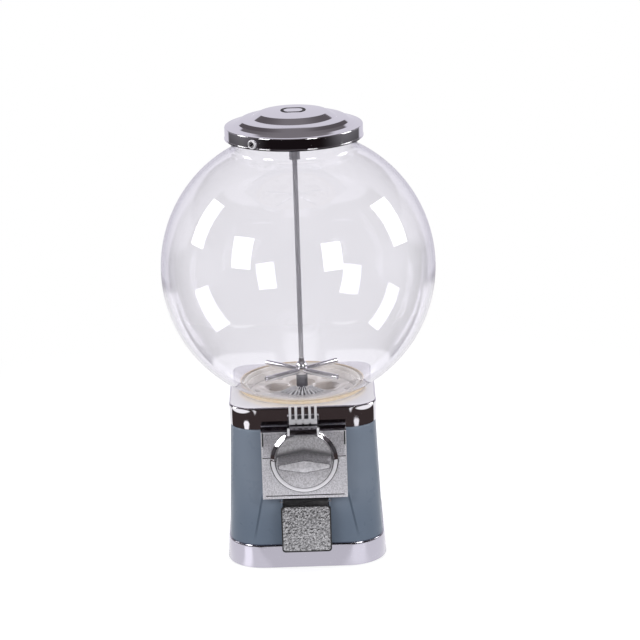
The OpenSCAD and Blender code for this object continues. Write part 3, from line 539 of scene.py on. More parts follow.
# Solid drawn as (u, v, w) set upright: u to the right, v up, w towards the back.
def upright(solid):
    points, faces = solid
    return points[:, [0, 2, 1]], faces


# Solid drawn as (u, v, w) laid across: u towards the back, v up, w to the right.
def crosswise(solid):
    points, faces = solid
    return points[:, [2, 0, 1]], faces


# Plate drawn from the side, between two places in x.
def sideSlab(outline, low, high, edge=0.5, steps=4):
    return crosswise(slab(outline, low, high, edge, steps=steps))


# Solid shifted by an offset.
def moved(solid, offset):
    return solid[0] + np.asarray(offset, float), solid[1]


# Solid turned about Z by an angle a: (x cos a - y sin a, x sin a + y cos a, z).
def turnedBy(solid, degrees):
    a = math.radians(degrees)
    x, y, z = solid[0].T
    points = np.stack([x * math.cos(a) - y * math.sin(a), x * math.sin(a) + y * math.cos(a), z], 1)
    return points, solid[1]


# Several solids as one list of points and faces.
def together(solids):
    points, faces, start = [], [], 0
    for solidPoints, solidFaces in solids:
        points.append(solidPoints)
        faces += [[i + start for i in face] for face in solidFaces]
        start += len(solidPoints)
    return np.concatenate(points), faces


# Unit pattern of a rounded square: each point is centre * (half - corner) + outward * corner.
def squarePattern(sideSteps, cornerSteps):
    side = np.linspace(-1, 1, sideSteps, endpoint=False)
    angle = np.linspace(0, np.pi / 2, cornerSteps, endpoint=False)
    centre = np.concatenate([np.stack([np.ones_like(side), side], 1), np.ones((cornerSteps, 2))])
    outward = np.concatenate([np.stack([np.ones_like(side), 0 * side], 1), onCircle(angle)])
    centres, outwards = [], []
    for quarter in range(4):
        centres.append(centre)
        outwards.append(outward)
        centre = np.stack([-centre[:, 1], centre[:, 0]], 1)
        outward = np.stack([-outward[:, 1], outward[:, 0]], 1)
    return np.concatenate(centres), np.concatenate(outwards)


# Rounded square carried through levels of half width, corner radius and height.
def squareSweep(levels, sideSteps=24, cornerSteps=16, bulge=None, closed=True):
    half, corner, height = np.asarray(levels, float).T[:, :, None]
    centre, outward = squarePattern(sideSteps, cornerSteps)
    x = centre[:, 0] * (half - corner) + outward[:, 0] * corner
    y = centre[:, 1] * (half - corner) + outward[:, 1] * corner
    z = height + 0 * x
    if bulge is not None:
        push = bulge(x, y, z, outward)
        x, y = x + outward[:, 0] * push, y + outward[:, 1] * push
    return np.stack([x, y, z], -1).reshape(-1, 3), gridFaces(len(levels), len(centre), closed)


# Rises from 0 at low to 1 at high by t t (3 - 2 t).
def smoothStep(value, low, high):
    t = np.clip((value - low) / (high - low), 0, 1)
    return t * t * (3 - 2 * t)


# Random heights on a lattice, joined smoothly between its points: values from -1 to 1.
def latticeNoise(u, v, cell, seed, size=128):
    lattice = np.random.default_rng(seed).uniform(-1, 1, (size, size))
    p, q = u / cell, v / cell
    i, j = np.floor(p).astype(int), np.floor(q).astype(int)
    s, t = smoothStep(p - i, 0, 1), smoothStep(q - j, 0, 1)
    a, b, c, d = (lattice[(i + right) % size, (j + up) % size] for up in (0, 1) for right in (0, 1))
    return (a * (1 - s) + b * s) * (1 - t) + (c * (1 - s) + d * s) * t


# Mesh of a solid, with its doubles merged and its faces turned outwards.
def makeMesh(name, solid):
    points, faces = solid
    mesh = bpy.data.meshes.new(name)
    mesh.from_pydata((np.asarray(points) * mm).tolist(), [], faces)
    work = bmesh.new()
    work.from_mesh(mesh)
    bmesh.ops.remove_doubles(work, verts=work.verts, dist=0.002 * mm)
    bmesh.ops.recalc_face_normals(work, faces=work.faces)
    work.to_mesh(mesh)
    work.free()
    return mesh


# Smooth faces, apart from the edges where they meet at more than an angle.
def shade(piece, sharp):
    piece.data.shade_smooth()
    piece.data.set_sharp_from_angle(angle=math.radians(sharp))


# Turns a solid into an object that rides on a body and stands for the CAD nodes named.
def makePiece(name, solid, finish, body, replaced=(), sharp=32):
    mesh = makeMesh(name, solid)
    piece = bpy.data.objects.new(name, mesh)
    scene.collection.objects.link(piece)
    mesh.materials.append(look[finish])
    shade(piece, sharp)
    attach(piece, body)
    if replaced:
        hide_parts(*replaced)
    return piece


# Cuts solids out of a piece and keeps the result as its mesh.
def cutOut(piece, solids, sharp=32):
    tool = bpy.data.objects.new("tool", makeMesh("tool", together(solids)))
    scene.collection.objects.link(tool)
    change = piece.modifiers.new("cutOut", "BOOLEAN")
    change.operation = "DIFFERENCE"
    change.object = tool
    change.solver = "EXACT"
    change.use_self = len(solids) > 1
    bpy.context.view_layer.update()
    result = piece.evaluated_get(bpy.context.evaluated_depsgraph_get())
    changed = bpy.data.meshes.new_from_object(result)
    piece.modifiers.clear()
    piece.data = changed
    bpy.data.objects.remove(tool)
    shade(piece, sharp)


# ---- finishes

# Noise on object coordinates, a value near 0.5. Stretch is its scale per metre, one for all axes or three.
def speckle(tree, stretch, detail):
    place = addNode(tree, "ShaderNodeTexCoord").outputs["Object"]
    scaled = addNode(tree, "ShaderNodeVectorMath", operation="MULTIPLY")
    tree.links.new(place, scaled.inputs[0])
    scaled.inputs[1].default_value = np.broadcast_to(stretch, 3).tolist()
    noise = addNode(tree, "ShaderNodeTexNoise")
    tree.links.new(scaled.outputs[0], noise.inputs["Vector"])
    noise.inputs["Scale"].default_value = 1.0
    noise.inputs["Detail"].default_value = detail
    noise.inputs["Roughness"].default_value = 0.5
    return noise.outputs["Fac"]


grainSpan = (0.3, 0.7)  # the part of the noise that is spread from 0 to 1


# A surface shader: shader holds its fixed values and tone mixes two colours by noise. Gloss is a stretch
# and two roughnesses to move between; relief is a stretch, the height of its bumps in metres and a detail.
def makeFinish(name, shader, tone=None, gloss=None, relief=None):
    material = bpy.data.materials.new(name)
    material.use_nodes = True
    tree = material.node_tree
    surface = tree.nodes["Principled BSDF"]
    for key, value in shader.items():
        surface.inputs[key].default_value = value
    if tone:
        share = ramp(tree, speckle(tree, tone["stretch"], 3.0), *grainSpan)
        color = blendColor(tree, share, *tone["colors"])
        for key, blend in (("centre", centreBlend), ("low", paintedLowShade), ("line", paintedShadeLine)):
            if key in tone:
                color = blend(tree, color, tone[key])
        tree.links.new(color, surface.inputs["Base Color"])
    if gloss:
        stretch, low, high = gloss
        share = ramp(tree, speckle(tree, stretch, 3.0), *grainSpan)
        tree.links.new(calc(tree, "MULTIPLY_ADD", share, high - low, low), surface.inputs["Roughness"])
    if relief:
        stretch, height, detail = relief
        bump = addNode(tree, "ShaderNodeBump")
        bump.inputs["Distance"].default_value = height
        bump.inputs["Strength"].default_value = 1.0
        tree.links.new(speckle(tree, stretch, detail), bump.inputs["Height"])
        tree.links.new(bump.outputs["Normal"], surface.inputs["Normal"])
    return material


# Another colour inside a radius round the object's own axis.
def centreBlend(tree, color, centre):
    across, along, _ = parts(tree)
    square = calc(tree, "ADD", times(tree, across, across), times(tree, along, along))
    inner, outer = (v * mm for v in centre["radius"])
    return blendColor(tree, ramp(tree, calc(tree, "SQRT", square), inner, outer), centre["color"], color)


# Another colour below a height: painted shade, darker towards the bottom.
def paintedLowShade(tree, color, low):
    bottom, top = (v * mm for v in low["height"])
    return blendColor(tree, ramp(tree, parts(tree)[2], bottom, top), low["color"], color)


shadeLineFront = (-50, -40)  # where a line's colour ends towards the back


# Painted shade: another colour along the line |x| * lean + z * rise = at, on the front and between two
# heights that each fade; across the line it fades between two distances.
def paintedShadeLine(tree, color, line):
    across, along, height = parts(tree)
    lean, rise = line["lean"]
    leaning = times(tree, calc(tree, "ABSOLUTE", across), lean)
    away = calc(tree, "SUBTRACT", calc(tree, "MULTIPLY_ADD", height, rise, leaning), line["at"] * mm)
    near, far = (v * mm for v in line["fade"])
    keep = ramp(tree, calc(tree, "ABSOLUTE", away), near, far)
    for value, fade in ((height, line["top"]), (height, line["bottom"]), (along, shadeLineFront)):
        inside, outside = (v * mm for v in fade)
        keep = calc(tree, "MAXIMUM", keep, ramp(tree, value, inside, outside))
    return blendColor(tree, keep, line["color"], color)


finishes = {
    # painted reflection: the collar's top as a whiter, part-diffuse copy of the chrome
    "collarTopReflection": {
        "shader": {"Metallic": 0.25, "Base Color": (0.97, 0.955, 0.975, 1)},
        "gloss": (60, 0.05, 0.09),
    },
    "chrome": {
        "shader": {"Metallic": 1.0, "Base Color": (0.78, 0.765, 0.79, 1)},
        "gloss": (60, 0.035, 0.06),
    },
    "lidChrome": {
        "shader": {"Metallic": 1.0, "Base Color": (0.80, 0.785, 0.82, 1)},
        "gloss": (45, 0.05, 0.085),
    },
    # painted reflection: a dark copy of chrome for the plate's top band and the coin entry
    "chromeDarkReflection": {
        "shader": {"Metallic": 1.0, "Base Color": (0.22, 0.21, 0.23, 1)},
        "gloss": (200, 0.14, 0.22),
    },
    "paint": {
        "shader": {"Coat Weight": 0.1, "Coat Roughness": 0.15, "Specular IOR Level": 0.15},
        "tone": {"stretch": 30, "colors": ((0.206, 0.247, 0.307, 1), (0.220, 0.261, 0.322, 1)),
                 # painted shade: the body darker towards the bottom
                 "low": {"height": (34.0, 88.0), "color": (0.148, 0.188, 0.246, 1)},
                 # painted shade: a dark line along each crease of the apron
                 "line": {"lean": (1.0, 0.2), "at": 53.6, "fade": (0.3, 1.5), "top": (66, 74),
                          "bottom": (42, 24), "color": (0.094, 0.123, 0.164, 1)}},
        "gloss": (90, 0.27, 0.33),
    },
    "baseAluminium": {
        "shader": {"Metallic": 1.0, "Base Color": (0.50, 0.486, 0.545, 1)},
        "gloss": ((40, 40, 2500), 0.10, 0.18),
        "relief": ((60, 60, 3000), 0.000006, 2.0),
    },
    "panelZinc": {
        "shader": {"Metallic": 0.75},
        "tone": {"stretch": 800, "colors": ((0.46, 0.45, 0.48, 1), (0.78, 0.77, 0.81, 1))},
        "gloss": (900, 0.36, 0.5),
        "relief": (1000, 0.00008, 3.0),
    },
    "castZinc": {
        "shader": {"Metallic": 0.45},
        "tone": {"stretch": 800, "colors": ((0.60, 0.59, 0.62, 1), (0.88, 0.87, 0.91, 1))},
        "gloss": (900, 0.36, 0.5),
        "relief": (1000, 0.00008, 3.0),
    },
    "knobMetal": {
        "shader": {"Metallic": 0.55},
        "tone": {"stretch": 800, "colors": ((0.50, 0.49, 0.51, 1), (0.76, 0.75, 0.78, 1)),
                 # painted shadow and reflection of the grip: the disc darker just above it
                 "line": {"lean": (0.2, 1.0), "at": 116.4, "fade": (0.8, 6.0), "top": (140, 150),
                          "bottom": (106, 104), "color": (0.19, 0.186, 0.195, 1)}},
        "gloss": (600, 0.3, 0.42),
        "relief": (900, 0.00006, 3.0),
    },
    # painted shade: a darker copy of the knob's cast metal for the grip's sides
    "knobSideShaded": {
        "shader": {"Metallic": 0.8},
        "tone": {"stretch": 700, "colors": ((0.27, 0.265, 0.28, 1), (0.46, 0.45, 0.47, 1))},
        "gloss": (600, 0.3, 0.42),
        "relief": (900, 0.00006, 3.0),
    },
    "knobFace": {
        "shader": {"Metallic": 0.5},
        "tone": {"stretch": 500, "colors": ((0.62, 0.61, 0.64, 1), (0.86, 0.85, 0.88, 1))},
        "gloss": (600, 0.3, 0.42),
        "relief": (500, 0.00006, 2.0),
    },
    "combMetal": {
        "shader": {"Metallic": 0.3, "Base Color": (0.92, 0.91, 0.94, 1)},
        "gloss": (400, 0.16, 0.26),
    },
    "hammered": {
        "shader": {"Metallic": 1.0},
        "tone": {"stretch": 520, "colors": ((0.16, 0.16, 0.165, 1), (0.64, 0.64, 0.65, 1))},
        "gloss": (500, 0.2, 0.32),
        "relief": (620, 0.0004, 2.0),
    },
    "doorBlack": {
        "shader": {"Base Color": (0.012, 0.012, 0.013, 1)},
        "gloss": (300, 0.35, 0.5),
        "relief": (1500, 0.00001, 2.0),
    },
    "chuteBlack": {
        "shader": {"Base Color": (0.018, 0.018, 0.019, 1)},
        "gloss": (200, 0.42, 0.58),
        "relief": (1200, 0.00001, 2.0),
    },
    "gasketRubber": {
        "shader": {"Specular IOR Level": 0.3},
        "tone": {"stretch": 250, "colors": ((0.90, 0.73, 0.53, 1), (0.96, 0.82, 0.65, 1)),
                 "centre": {"radius": (54.6, 55.6), "color": (0.88, 0.83, 0.78, 1)}},
        "gloss": (300, 0.6, 0.75),
        "relief": (1500, 0.00002, 2.0),
    },
    "hopperCream": {
        "shader": {},
        "tone": {"stretch": 35, "colors": ((0.92, 0.87, 0.83, 1), (0.96, 0.92, 0.89, 1))},
        "gloss": (120, 0.22, 0.34),
    },
    "wheelCream": {
        "shader": {"Coat Weight": 0.1},
        "tone": {"stretch": 60, "colors": ((0.90, 0.84, 0.79, 1), (0.95, 0.90, 0.86, 1))},
        "gloss": (150, 0.3, 0.42),
    },
    "armSteel": {
        "shader": {"Metallic": 1.0, "Base Color": (0.86, 0.85, 0.87, 1)},
        "gloss": (400, 0.07, 0.12),
    },
    "rodSteel": {
        "shader": {"Metallic": 0.6, "Base Color": (0.82, 0.815, 0.85, 1)},
        "gloss": ((400, 400, 60), 0.28, 0.42),
        "relief": ((900, 900, 60), 0.00001, 2.0),
    },
    "darkSteel": {
        "shader": {"Metallic": 1.0, "Base Color": (0.24, 0.235, 0.25, 1)},
        "gloss": (300, 0.28, 0.42),
    },
    "platedSteel": {
        "shader": {"Metallic": 1.0, "Base Color": (0.62, 0.61, 0.63, 1)},
        "gloss": (180, 0.22, 0.34),
    },
    "screwSteel": {
        "shader": {"Metallic": 1.0, "Base Color": (0.60, 0.59, 0.58, 1)},
        "gloss": (500, 0.2, 0.32),
    },
    "brushFelt": {
        "shader": {"Base Color": (0.30, 0.295, 0.30, 1)},
        "gloss": (300, 0.5, 0.65),
    },
    "brushCream": {
        "shader": {"Base Color": (0.86, 0.83, 0.80, 1)},
        "gloss": (120, 0.2, 0.3),
    },
    "sleeveRubber": {
        "shader": {"Base Color": (0.17, 0.17, 0.188, 1)},
        "gloss": (300, 0.35, 0.5),
    },
    "bristleWhite": {
        "shader": {"Base Color": (0.86, 0.86, 0.87, 1), "Roughness": 0.5},
        "tone": {"stretch": 900, "colors": ((0.78, 0.78, 0.80, 1), (0.92, 0.92, 0.93, 1))},
    },
    "gearBrass": {
        "shader": {"Metallic": 1.0, "Base Color": (0.70, 0.52, 0.24, 1)},
        "gloss": (300, 0.2, 0.34),
    },
    "insetEnamel": {
        "shader": {"Base Color": (0.03, 0.028, 0.03, 1), "Specular IOR Level": 0.2},
        "gloss": (200, 0.5, 0.6),
    },
}

look = {name: makeFinish(name, **settings) for name, settings in finishes.items()}


# Clear acrylic: light goes through both walls and bends at each.
look["clearAcrylic"] = makeFinish("clearAcrylic", {
    "Base Color": (0.944, 0.936, 0.965, 1), "Roughness": 0.0, "IOR": 1.49, "Transmission Weight": 1.0,
})

partFinishes = {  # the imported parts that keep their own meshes
    "platedSteel": ("base_washer", "lock_bar", "lock_nut", "lock_cam", "mech_clips", "ratchet_pawl"),
    "screwSteel": ("base_nut", "bar_screw", "cam_screw", "mech_screws", "clip_screws", "pawl_screw",
                   "gear_pin", "chute_screws"),
    "castZinc": ("mech_housing", "coin_carrier"),
    "darkSteel": ("ratchet_wheel", "door_pin"),
    "hopperCream": ("hopper",),
    "wheelCream": ("gumball_wheel",),
    "rodSteel": ("center_rod",),
    "armSteel": ("knob_shaft",),
    "gearBrass": ("drive_gear",),
    "chuteBlack": ("chute",),
}
for finish, nodeNames in partFinishes.items():
    for nodeName in nodeNames:
        slots = nodes[nodeName].material_slots
        for slot in slots:
            slot.material = look[finish]
        if not len(slots):
            nodes[nodeName].data.materials.append(look[finish])
print("finishes:", len(look))


# ---- globe, gasket and rod

# Arc in a profile: (r cos t, r sin t) round a centre, from one angle to another in degrees.
def arc(centre, radius, start, end, steps):
    angle = np.radians(np.linspace(start, end, steps))
    return onCircle(angle) * radius + centre


globeShape = {
    "radius": 127.0, "centre": 268.8, "wall": 2.5,
    "neck": 57.8, "neckTop": 392.8, "neckBottom": 155.0, "fillet": 5.0, "lip": 0.9, "turnSteps": 288,
}


# Section of one surface of the globe: the upper neck, a fillet, the ball and the lower neck. The fillet's
# circle touches the neck's line and the ball, so its centre is radius + fillet away at the angle whose
# cosine is (neck + fillet) / (radius + fillet).
def globeSection(shape, wall, top, bottom):
    radius, neck, fillet = shape.radius - wall, shape.neck - wall, shape.fillet + wall
    centre = np.array([0.0, shape.centre])
    reach = radius + fillet
    start = math.degrees(math.acos((neck + fillet) / reach))
    middle = arc(centre, reach, start, start, 1)[0]
    upper = arc(middle, fillet, 180, 180 + start, 10)
    ball = arc(centre, radius, start, -math.degrees(math.acos(neck / radius)), 150)
    return np.concatenate([[(neck, top)], upper, ball[1:], [(neck, bottom)]])


# The outer section, then the inner one upwards, joined by rounded lips and turned about the axis.
def makeGlobe(shape):
    wall, lip, neck = shape.wall, shape.lip, shape.neck
    top, bottom = shape.neckTop - lip, shape.neckBottom
    outer = globeSection(shape, 0.0, top, bottom + lip / 2)
    inner = globeSection(shape, wall, top, bottom + lip / 2)[::-1]
    upperLip = arc((neck - lip, top), lip, 90, 0, 5)[:-1]
    innerLip = arc((neck - wall + lip, top), lip, 180, 90, 5)[1:]
    lowerLip = [(neck - lip / 2, bottom), (neck - wall + lip / 2, bottom)]
    profile = np.concatenate([upperLip, outer, lowerLip, inner, innerLip])
    globe = makePiece("globe", turned(profile, shape.turnSteps), "clearAcrylic", "cabinet",
                      ["globe"], sharp=60)
    globe.visible_shadow = False


makeGlobe(named(globeShape))

gasketShape = {
    "inner": 53.0, "outer": 59.4, "low": 154.1, "brim": 157.2, "seat": 154.8, "top": 157.8,
    "groove": (0.4, 0.3),  # how far the groove clears the neck, outside and inside
}


# Ring with a groove that the globe's lower neck stands in.
def makeGasket(shape):
    neck = globeShape["neck"] + shape.groove[0]
    neckInner = globeShape["neck"] - globeShape["wall"] - shape.groove[1]
    corners = [(shape.inner, shape.low), (shape.outer, shape.low), (shape.outer, shape.brim),
               (neck, shape.brim), (neck, shape.seat), (neckInner, shape.seat),
               (neckInner, shape.top), (shape.inner, shape.top)]
    profile = roundCorners(corners, (0.2, 0.3, 0.4, 0.1, 0.1, 0.1, 0.5, 0.5), 3)
    makePiece("globeGasket", turned(profile, 192), "gasketRubber", "cabinet",
              ["globe_gasket"])


makeGasket(named(gasketShape))

couplingShape = {"flats": 8.4, "low": 369.4, "high": 399.5, "bore": 2.32, "chamfer": 0.7, "steps": 96}


# Regular hexagon as a radius for each direction: flats / 2 / cos(angle from the flat's middle), and never
# more than a limit.
def hexOutline(flats, limit, steps):
    angle = np.linspace(0, fullTurn, steps, endpoint=False)
    apart = np.mod(angle, np.pi / 3) - np.pi / 6
    radius = np.minimum(flats / 2 / np.cos(apart), limit)
    return onCircle(angle) * radius[:, None]


# Hexagon bar with a bore, its corners cut back at both ends.
def makeCoupling(shape):
    low, high, chamfer, steps = shape.low, shape.high, shape.chamfer, shape.steps
    tip = shape.flats / math.sqrt(3)
    wide = hexOutline(shape.flats, tip, steps)
    narrow = hexOutline(shape.flats, tip - chamfer * 1.4, steps)
    bore = circleOutline(shape.bore, steps)
    solid = looped([narrow, wide, wide, narrow, bore, bore],
                   [low, low + chamfer * 0.8, high - chamfer * 0.8, high, high, low])
    makePiece("rodCoupling", solid, "rodSteel", "cabinet", ["rod_coupling"])


makeCoupling(named(couplingShape))
print("globe, gasket and rod coupling")


# ---- agitator, sleeve and brush

agitatorShape = {
    "bore": 2.35, "coreRadius": 4.6, "coreLow": 164.0, "coreHigh": 172.0,
    "armHeight": 168.0, "armRadius": 2.7, "armStart": 3.0, "armEdge": 0.4, "armLength": 42.0,
    "armAngles": (38, 142, 218, -38), "hollow": 1.6, "hollowDepth": 3.0,
    "hubRadius": 5.6, "hubLow": 172.2, "hubHigh": 180.2, "hubArc": (4, 58), "hubWaist": (2.7, 4.6),
    "rings": [  # piece, node, finish, slot, radius, low, high
        ("agitatorSleeve", "agitator_sleeve", "sleeveRubber", "sleeve_rubber", 5.3, 152.1, 163.9),
        ("rodBushing", "rod_bushing", "chuteBlack", "black_plastic", 3.6, 146.7, 152.1)],
}


# Ring's section with rounded outer edges.
def ringSection(bore, radius, low, high, edge):
    corners = [(bore, low), (radius, low), (radius, high), (bore, high)]
    return roundCorners(corners, (0.05, edge, edge, 0.05), 4)


# A core with arms, each a turned bar with a hollow end laid along its own angle, a domed hub nut on top,
# and the sleeve and bushing below.
def makeAgitator(shape):
    bore, arm, end = shape.bore, shape.armRadius, shape.armLength
    core = turned(ringSection(bore, shape.coreRadius, shape.coreLow, shape.coreHigh, 0.6), 64)
    edge, start, bottom = shape.armEdge, shape.armStart, end - shape.hollowDepth
    profile = np.concatenate([[(0, start), (arm, start)], arc((arm - edge, end - edge), edge, 0, 90, 4),
                              [(shape.hollow, end), (shape.hollow, bottom), (0, bottom)]])
    bar = turned(profile, 32, closed=False)
    bar = (bar[0][:, [2, 0, 1]], bar[1] + [list(range(32))])
    arms = [moved(turnedBy(bar, angle), (0, 0, shape.armHeight)) for angle in shape.armAngles]
    makePiece("agitatorArms", together([core] + arms), "armSteel", "wheel", ["agitator_arms"])
    low, high, (waist, waistUp) = shape.hubLow, shape.hubHigh, shape.hubWaist
    dome = arc((0, low - 0.2), shape.hubRadius, *shape.hubArc, 16)
    hub = np.concatenate([[(bore, low + 0.05)], dome, [(waist, low + waistUp), (waist - 0.1, high - 0.3),
                                                       (bore, high - 0.05)]])
    makePiece("agitatorHub", turned(hub, 64), "armSteel", "wheel", ["agitator_hub"])
    for name, node, finish, slotName, radius, low, high in shape.rings:
        ring = turned(ringSection(bore, radius, low, high, 0.5), 64)
        makePiece(name, ring, finish, "wheel", [node])


makeAgitator(named(agitatorShape))

brushShape = {
    "tufts": 13, "spread": 118.0, "start": 8.5, "end": 25.0, "height": 149.7, "rise": 4.0, "radius": 0.42,
    "tipRadius": 1.05, "tuftSteps": 8, "seed": 5, "loose": (1.0, 0.3, 0.5),  # start, height and angle
    "plateIn": 7.5, "plateEnd": 25.5, "plateLow": 147.4, "plateHigh": 148.6,
    "hoodIn": 25.0, "hoodOut": 50.5, "hoodHigh": 151.0, "half": 61.0, "edge": 0.35,
}


# Tufts that fan out from the rod: each is a thin cone along its own ray, falling by the rise to its tip.
def makeBristles(shape):
    random = np.random.default_rng(shape.seed)
    looseStart, looseHeight, looseAngle = shape.loose
    tufts = []
    for angle in np.linspace(-0.5, 0.5, shape.tufts) * shape.spread - 90:
        start = shape.start + random.uniform(-looseStart, looseStart)
        profile = [(0, start), (shape.radius, start), (shape.tipRadius, shape.end), (0, shape.end)]
        points, faces = turned(profile, shape.tuftSteps, closed=False)
        points = points[:, [2, 0, 1]]
        share = (points[:, 0] - shape.start) / (shape.end - shape.start)
        points[:, 2] += shape.height + (1 - share) * (shape.rise + random.uniform(-looseHeight, looseHeight))
        tufts.append(turnedBy((points, faces), angle + random.uniform(-looseAngle, looseAngle)))
    makePiece("brushBristles", together(tufts), "bristleWhite", "cabinet", ["brush_bristles"])


makeBristles(named(brushShape))


# Sector of a flat ring at the front, its edges a little round.
def sector(inner, outer, low, high, shape, steps):
    section = roundCorners([(inner, low), (outer, low), (outer, high), (inner, high)], shape.edge, 3)
    return carried(section, -90 - shape.half, -90 + shape.half, steps)


# A dark plate under the bristles and a pale hood over the drop hole beyond them.
def makeBrushHousing(shape):
    plate = sector(shape.plateIn, shape.plateEnd, shape.plateLow, shape.plateHigh, shape, 33)
    hood = sector(shape.hoodIn, shape.hoodOut, shape.plateLow, shape.hoodHigh, shape, 49)
    makePiece("brushPlate", plate, "brushFelt", "cabinet")
    makePiece("brushHousing", hood, "brushCream", "cabinet", ["brush_housing"])


makeBrushHousing(named(brushShape))
print("agitator and brush")


# ---- lid and its lock

lidShape = {
    "outer": [(0, 416.6), (15, 416.25), (28.6, 415.1), (31.3, 414.9), (38.8, 410.6), (45.6, 409.8),
              (48.4, 409.2), (52, 406.6), (56, 404.8), (60.5, 403.5), (63.2, 403.2), (63.2, 393.4),
              (63.6, 393.1), (63.6, 391.9)],
    "outerRound": [0, 12, 5, 2, 3, 3, 2.5, 4, 4, 4, 0.9, 0.3, 0.3, 0.4],
    "inner": [(61.8, 391.9), (61.8, 401.6), (56, 403.1), (52, 404.9), (47.6, 407.5), (45.4, 408.1),
              (38.2, 409.0), (30.8, 413.2), (28.4, 413.5), (15, 414.65), (0, 415.0)],
    "turnSteps": 224,
    "lockAngle": 36.0, "lockHeight": 396.8, "lockHole": (3.6, 54.0, 70.0), "barAngle": 58.0,
    "finAngles": (50, 90, 130, 205, 230, 270, 310, 335), "finFrom": 54.8, "finTo": 62.2, "finLow": 393.0,
    "finHigh": 402.2, "finThick": 1.6,
}


# Solid drawn round local Z, laid along the lock's axis, which points forward and a little to the left.
def alongLock(solid):
    shape = named(lidShape)
    points = solid[0][:, [0, 2, 1]] * (1, -1, 1)
    return moved(turnedBy((points, solid[1]), -shape.lockAngle), (0, 0, shape.lockHeight))


# Box between two corners.
def block(low, high):
    low, high = np.asarray(low, float), np.asarray(high, float)
    half, middle = (high - low) / 2, (high + low) / 2
    return moved(lofted([rectangle(*half[:2])] * 2, [low[2], high[2]]), (*middle[:2], 0))


# The rounded outer profile and then the inner one, turned about the axis, with a hole for the lock, and
# ribs inside the rim at angles measured from the lock bar.
def makeLid(shape):
    outer = roundCorners(shape.outer, shape.outerRound, 5, closed=False)
    inner = roundCorners(shape.inner, 1.0, 3, closed=False)
    lid = makePiece("lid", turned(np.concatenate([outer, inner]), shape.turnSteps), "lidChrome", "lid",
                    ["lid"], sharp=40)
    cutOut(lid, [alongLock(roundBar(*shape.lockHole))], sharp=40)
    fin = block((shape.finFrom, -shape.finThick / 2, shape.finLow),
                (shape.finTo, shape.finThick / 2, shape.finHigh))
    fins = [turnedBy(fin, a - 90 - shape.barAngle) for a in shape.finAngles]
    makePiece("lidFins", together(fins), "lidChrome", "lid")


makeLid(named(lidShape))

insetShape = {"halfX": 11.6, "halfY": 9.4, "low": 415.6, "rim": 416.75, "floor": 416.4, "rimWidth": 0.9,
              "rimEdge": 0.2, "slope": 0.4}


# Circle cut off flat at front and back: y is held within halfY.
def flatOval(halfX, halfY, steps=96):
    outline = circleOutline(halfX, steps)
    outline[:, 1] = np.clip(outline[:, 1], -halfY, halfY)
    return outline


# Oval plate with a raised rim: outlines drawn in step by step, at the rim's height and then at the floor's.
def makeInset(shape):
    width, edge, rim, floorZ = shape.rimWidth, shape.rimEdge, shape.rim, shape.floor
    insets = (0, 0, edge, width * 0.8, width, width + shape.slope)
    outlines = [flatOval(shape.halfX - inset, shape.halfY - inset) for inset in insets]
    depths = [shape.low, rim - edge, rim, rim, floorZ + 0.05, floorZ]
    makePiece("lidInset", lofted(outlines, depths), "insetEnamel", "lid", ["lid_inset"])


makeInset(named(insetShape))

lockShape = {"barrel": 3.5, "bore": 2.95, "flange": 4.3, "start": 48.0, "face": 63.7, "flangeThick": 1.5,
             "plug": 2.85, "plugStart": 46.2, "plugFace": 64.4,
             "keyWidth": 1.2, "keyArm": 2.3, "keyDepth": 3.0, "keyAngles": (90, 210, 330)}


# Turned barrel with a flange, and a plug whose keyway has three arms.
def makeLock(shape):
    face, thick = shape.face, shape.flangeThick
    barrel = roundCorners([(shape.bore, shape.start), (shape.barrel, shape.start),
                           (shape.barrel, face), (shape.flange, face), (shape.flange, face + 0.5),
                           (shape.flange - 1.0, face + thick), (shape.bore, face + thick)],
                          (0.05, 0.3, 0.05, 0.1, 0.2, 0.4, 0.3), 4)
    makePiece("lockBarrel", alongLock(turned(barrel, 64)), "combMetal", "lid",
              ["lock_barrel"])
    plug = roundCorners([(0, shape.plugStart), (shape.plug, shape.plugStart),
                         (shape.plug, shape.plugFace), (0, shape.plugFace)], (0, 0.1, 0.3, 0), 3,
                        closed=False)
    piece = makePiece("lockPlug", alongLock(turned(plug, 48, closed=False)), "platedSteel", "lid_lock",
                      ["lock_plug"])
    w = shape.keyWidth / 2
    arm = block((0, -w, shape.plugFace - shape.keyDepth), (shape.keyArm, w, shape.plugFace + 1))
    cutOut(piece, [alongLock(turnedBy(arm, angle)) for angle in shape.keyAngles])


makeLock(named(lockShape))
print("lid and lock")


# ---- collar, body and base

collarShape = {
    "levels": [  # half depth, corner radius, height
        (64.5, 25.6, 132.4), (64.5, 25.6, 138.0), (64.5, 25.6, 143.0), (64.5, 25.6, 146.0),
        (64.5, 25.6, 148.5), (64.5, 25.6, 150.3), (64.5, 25.6, 151.2), (64.4, 25.6, 151.9),
        (64.1, 25.4, 152.4), (63.6, 25.1, 152.8),
        (62.9, 24.8, 153.0), (60.5, 36.0, 153.0), (53.7, 53.7, 153.0),
        (53.4, 53.4, 152.6), (53.4, 53.4, 150.5), (54.0, 54.0, 150.5), (61.4, 23.0, 150.5),
        (61.4, 23.0, 128.2),
        (62.2, 24.0, 128.2), (62.2, 24.0, 132.4)],
    "wide": (1.044, 1.052), "wideFrom": 132.4, "wideOver": 20.6, "inside": (40.0, 54.2),
    "topFrom": 152.95, "flare": 2.4, "flareLow": 143.0, "flareHigh": 152.0, "flareBeyond": 70.0,
    "notch": ((-36.5, -72.0, 127.0), (36.5, -48.0, 132.35)),
}


# Push-out of the four corners near the top: flare * |2 nx ny| * (share of the height) squared.
def cornerFlare(x, y, z, outward):
    shape = named(collarShape)
    share = np.abs(outward[:, 0] * outward[:, 1]) * 2
    rise = np.clip((z - shape.flareLow) / (shape.flareHigh - shape.flareLow), 0, 1) ** 2.0
    return shape.flare * share * rise * (np.hypot(x, y) > shape.flareBeyond)
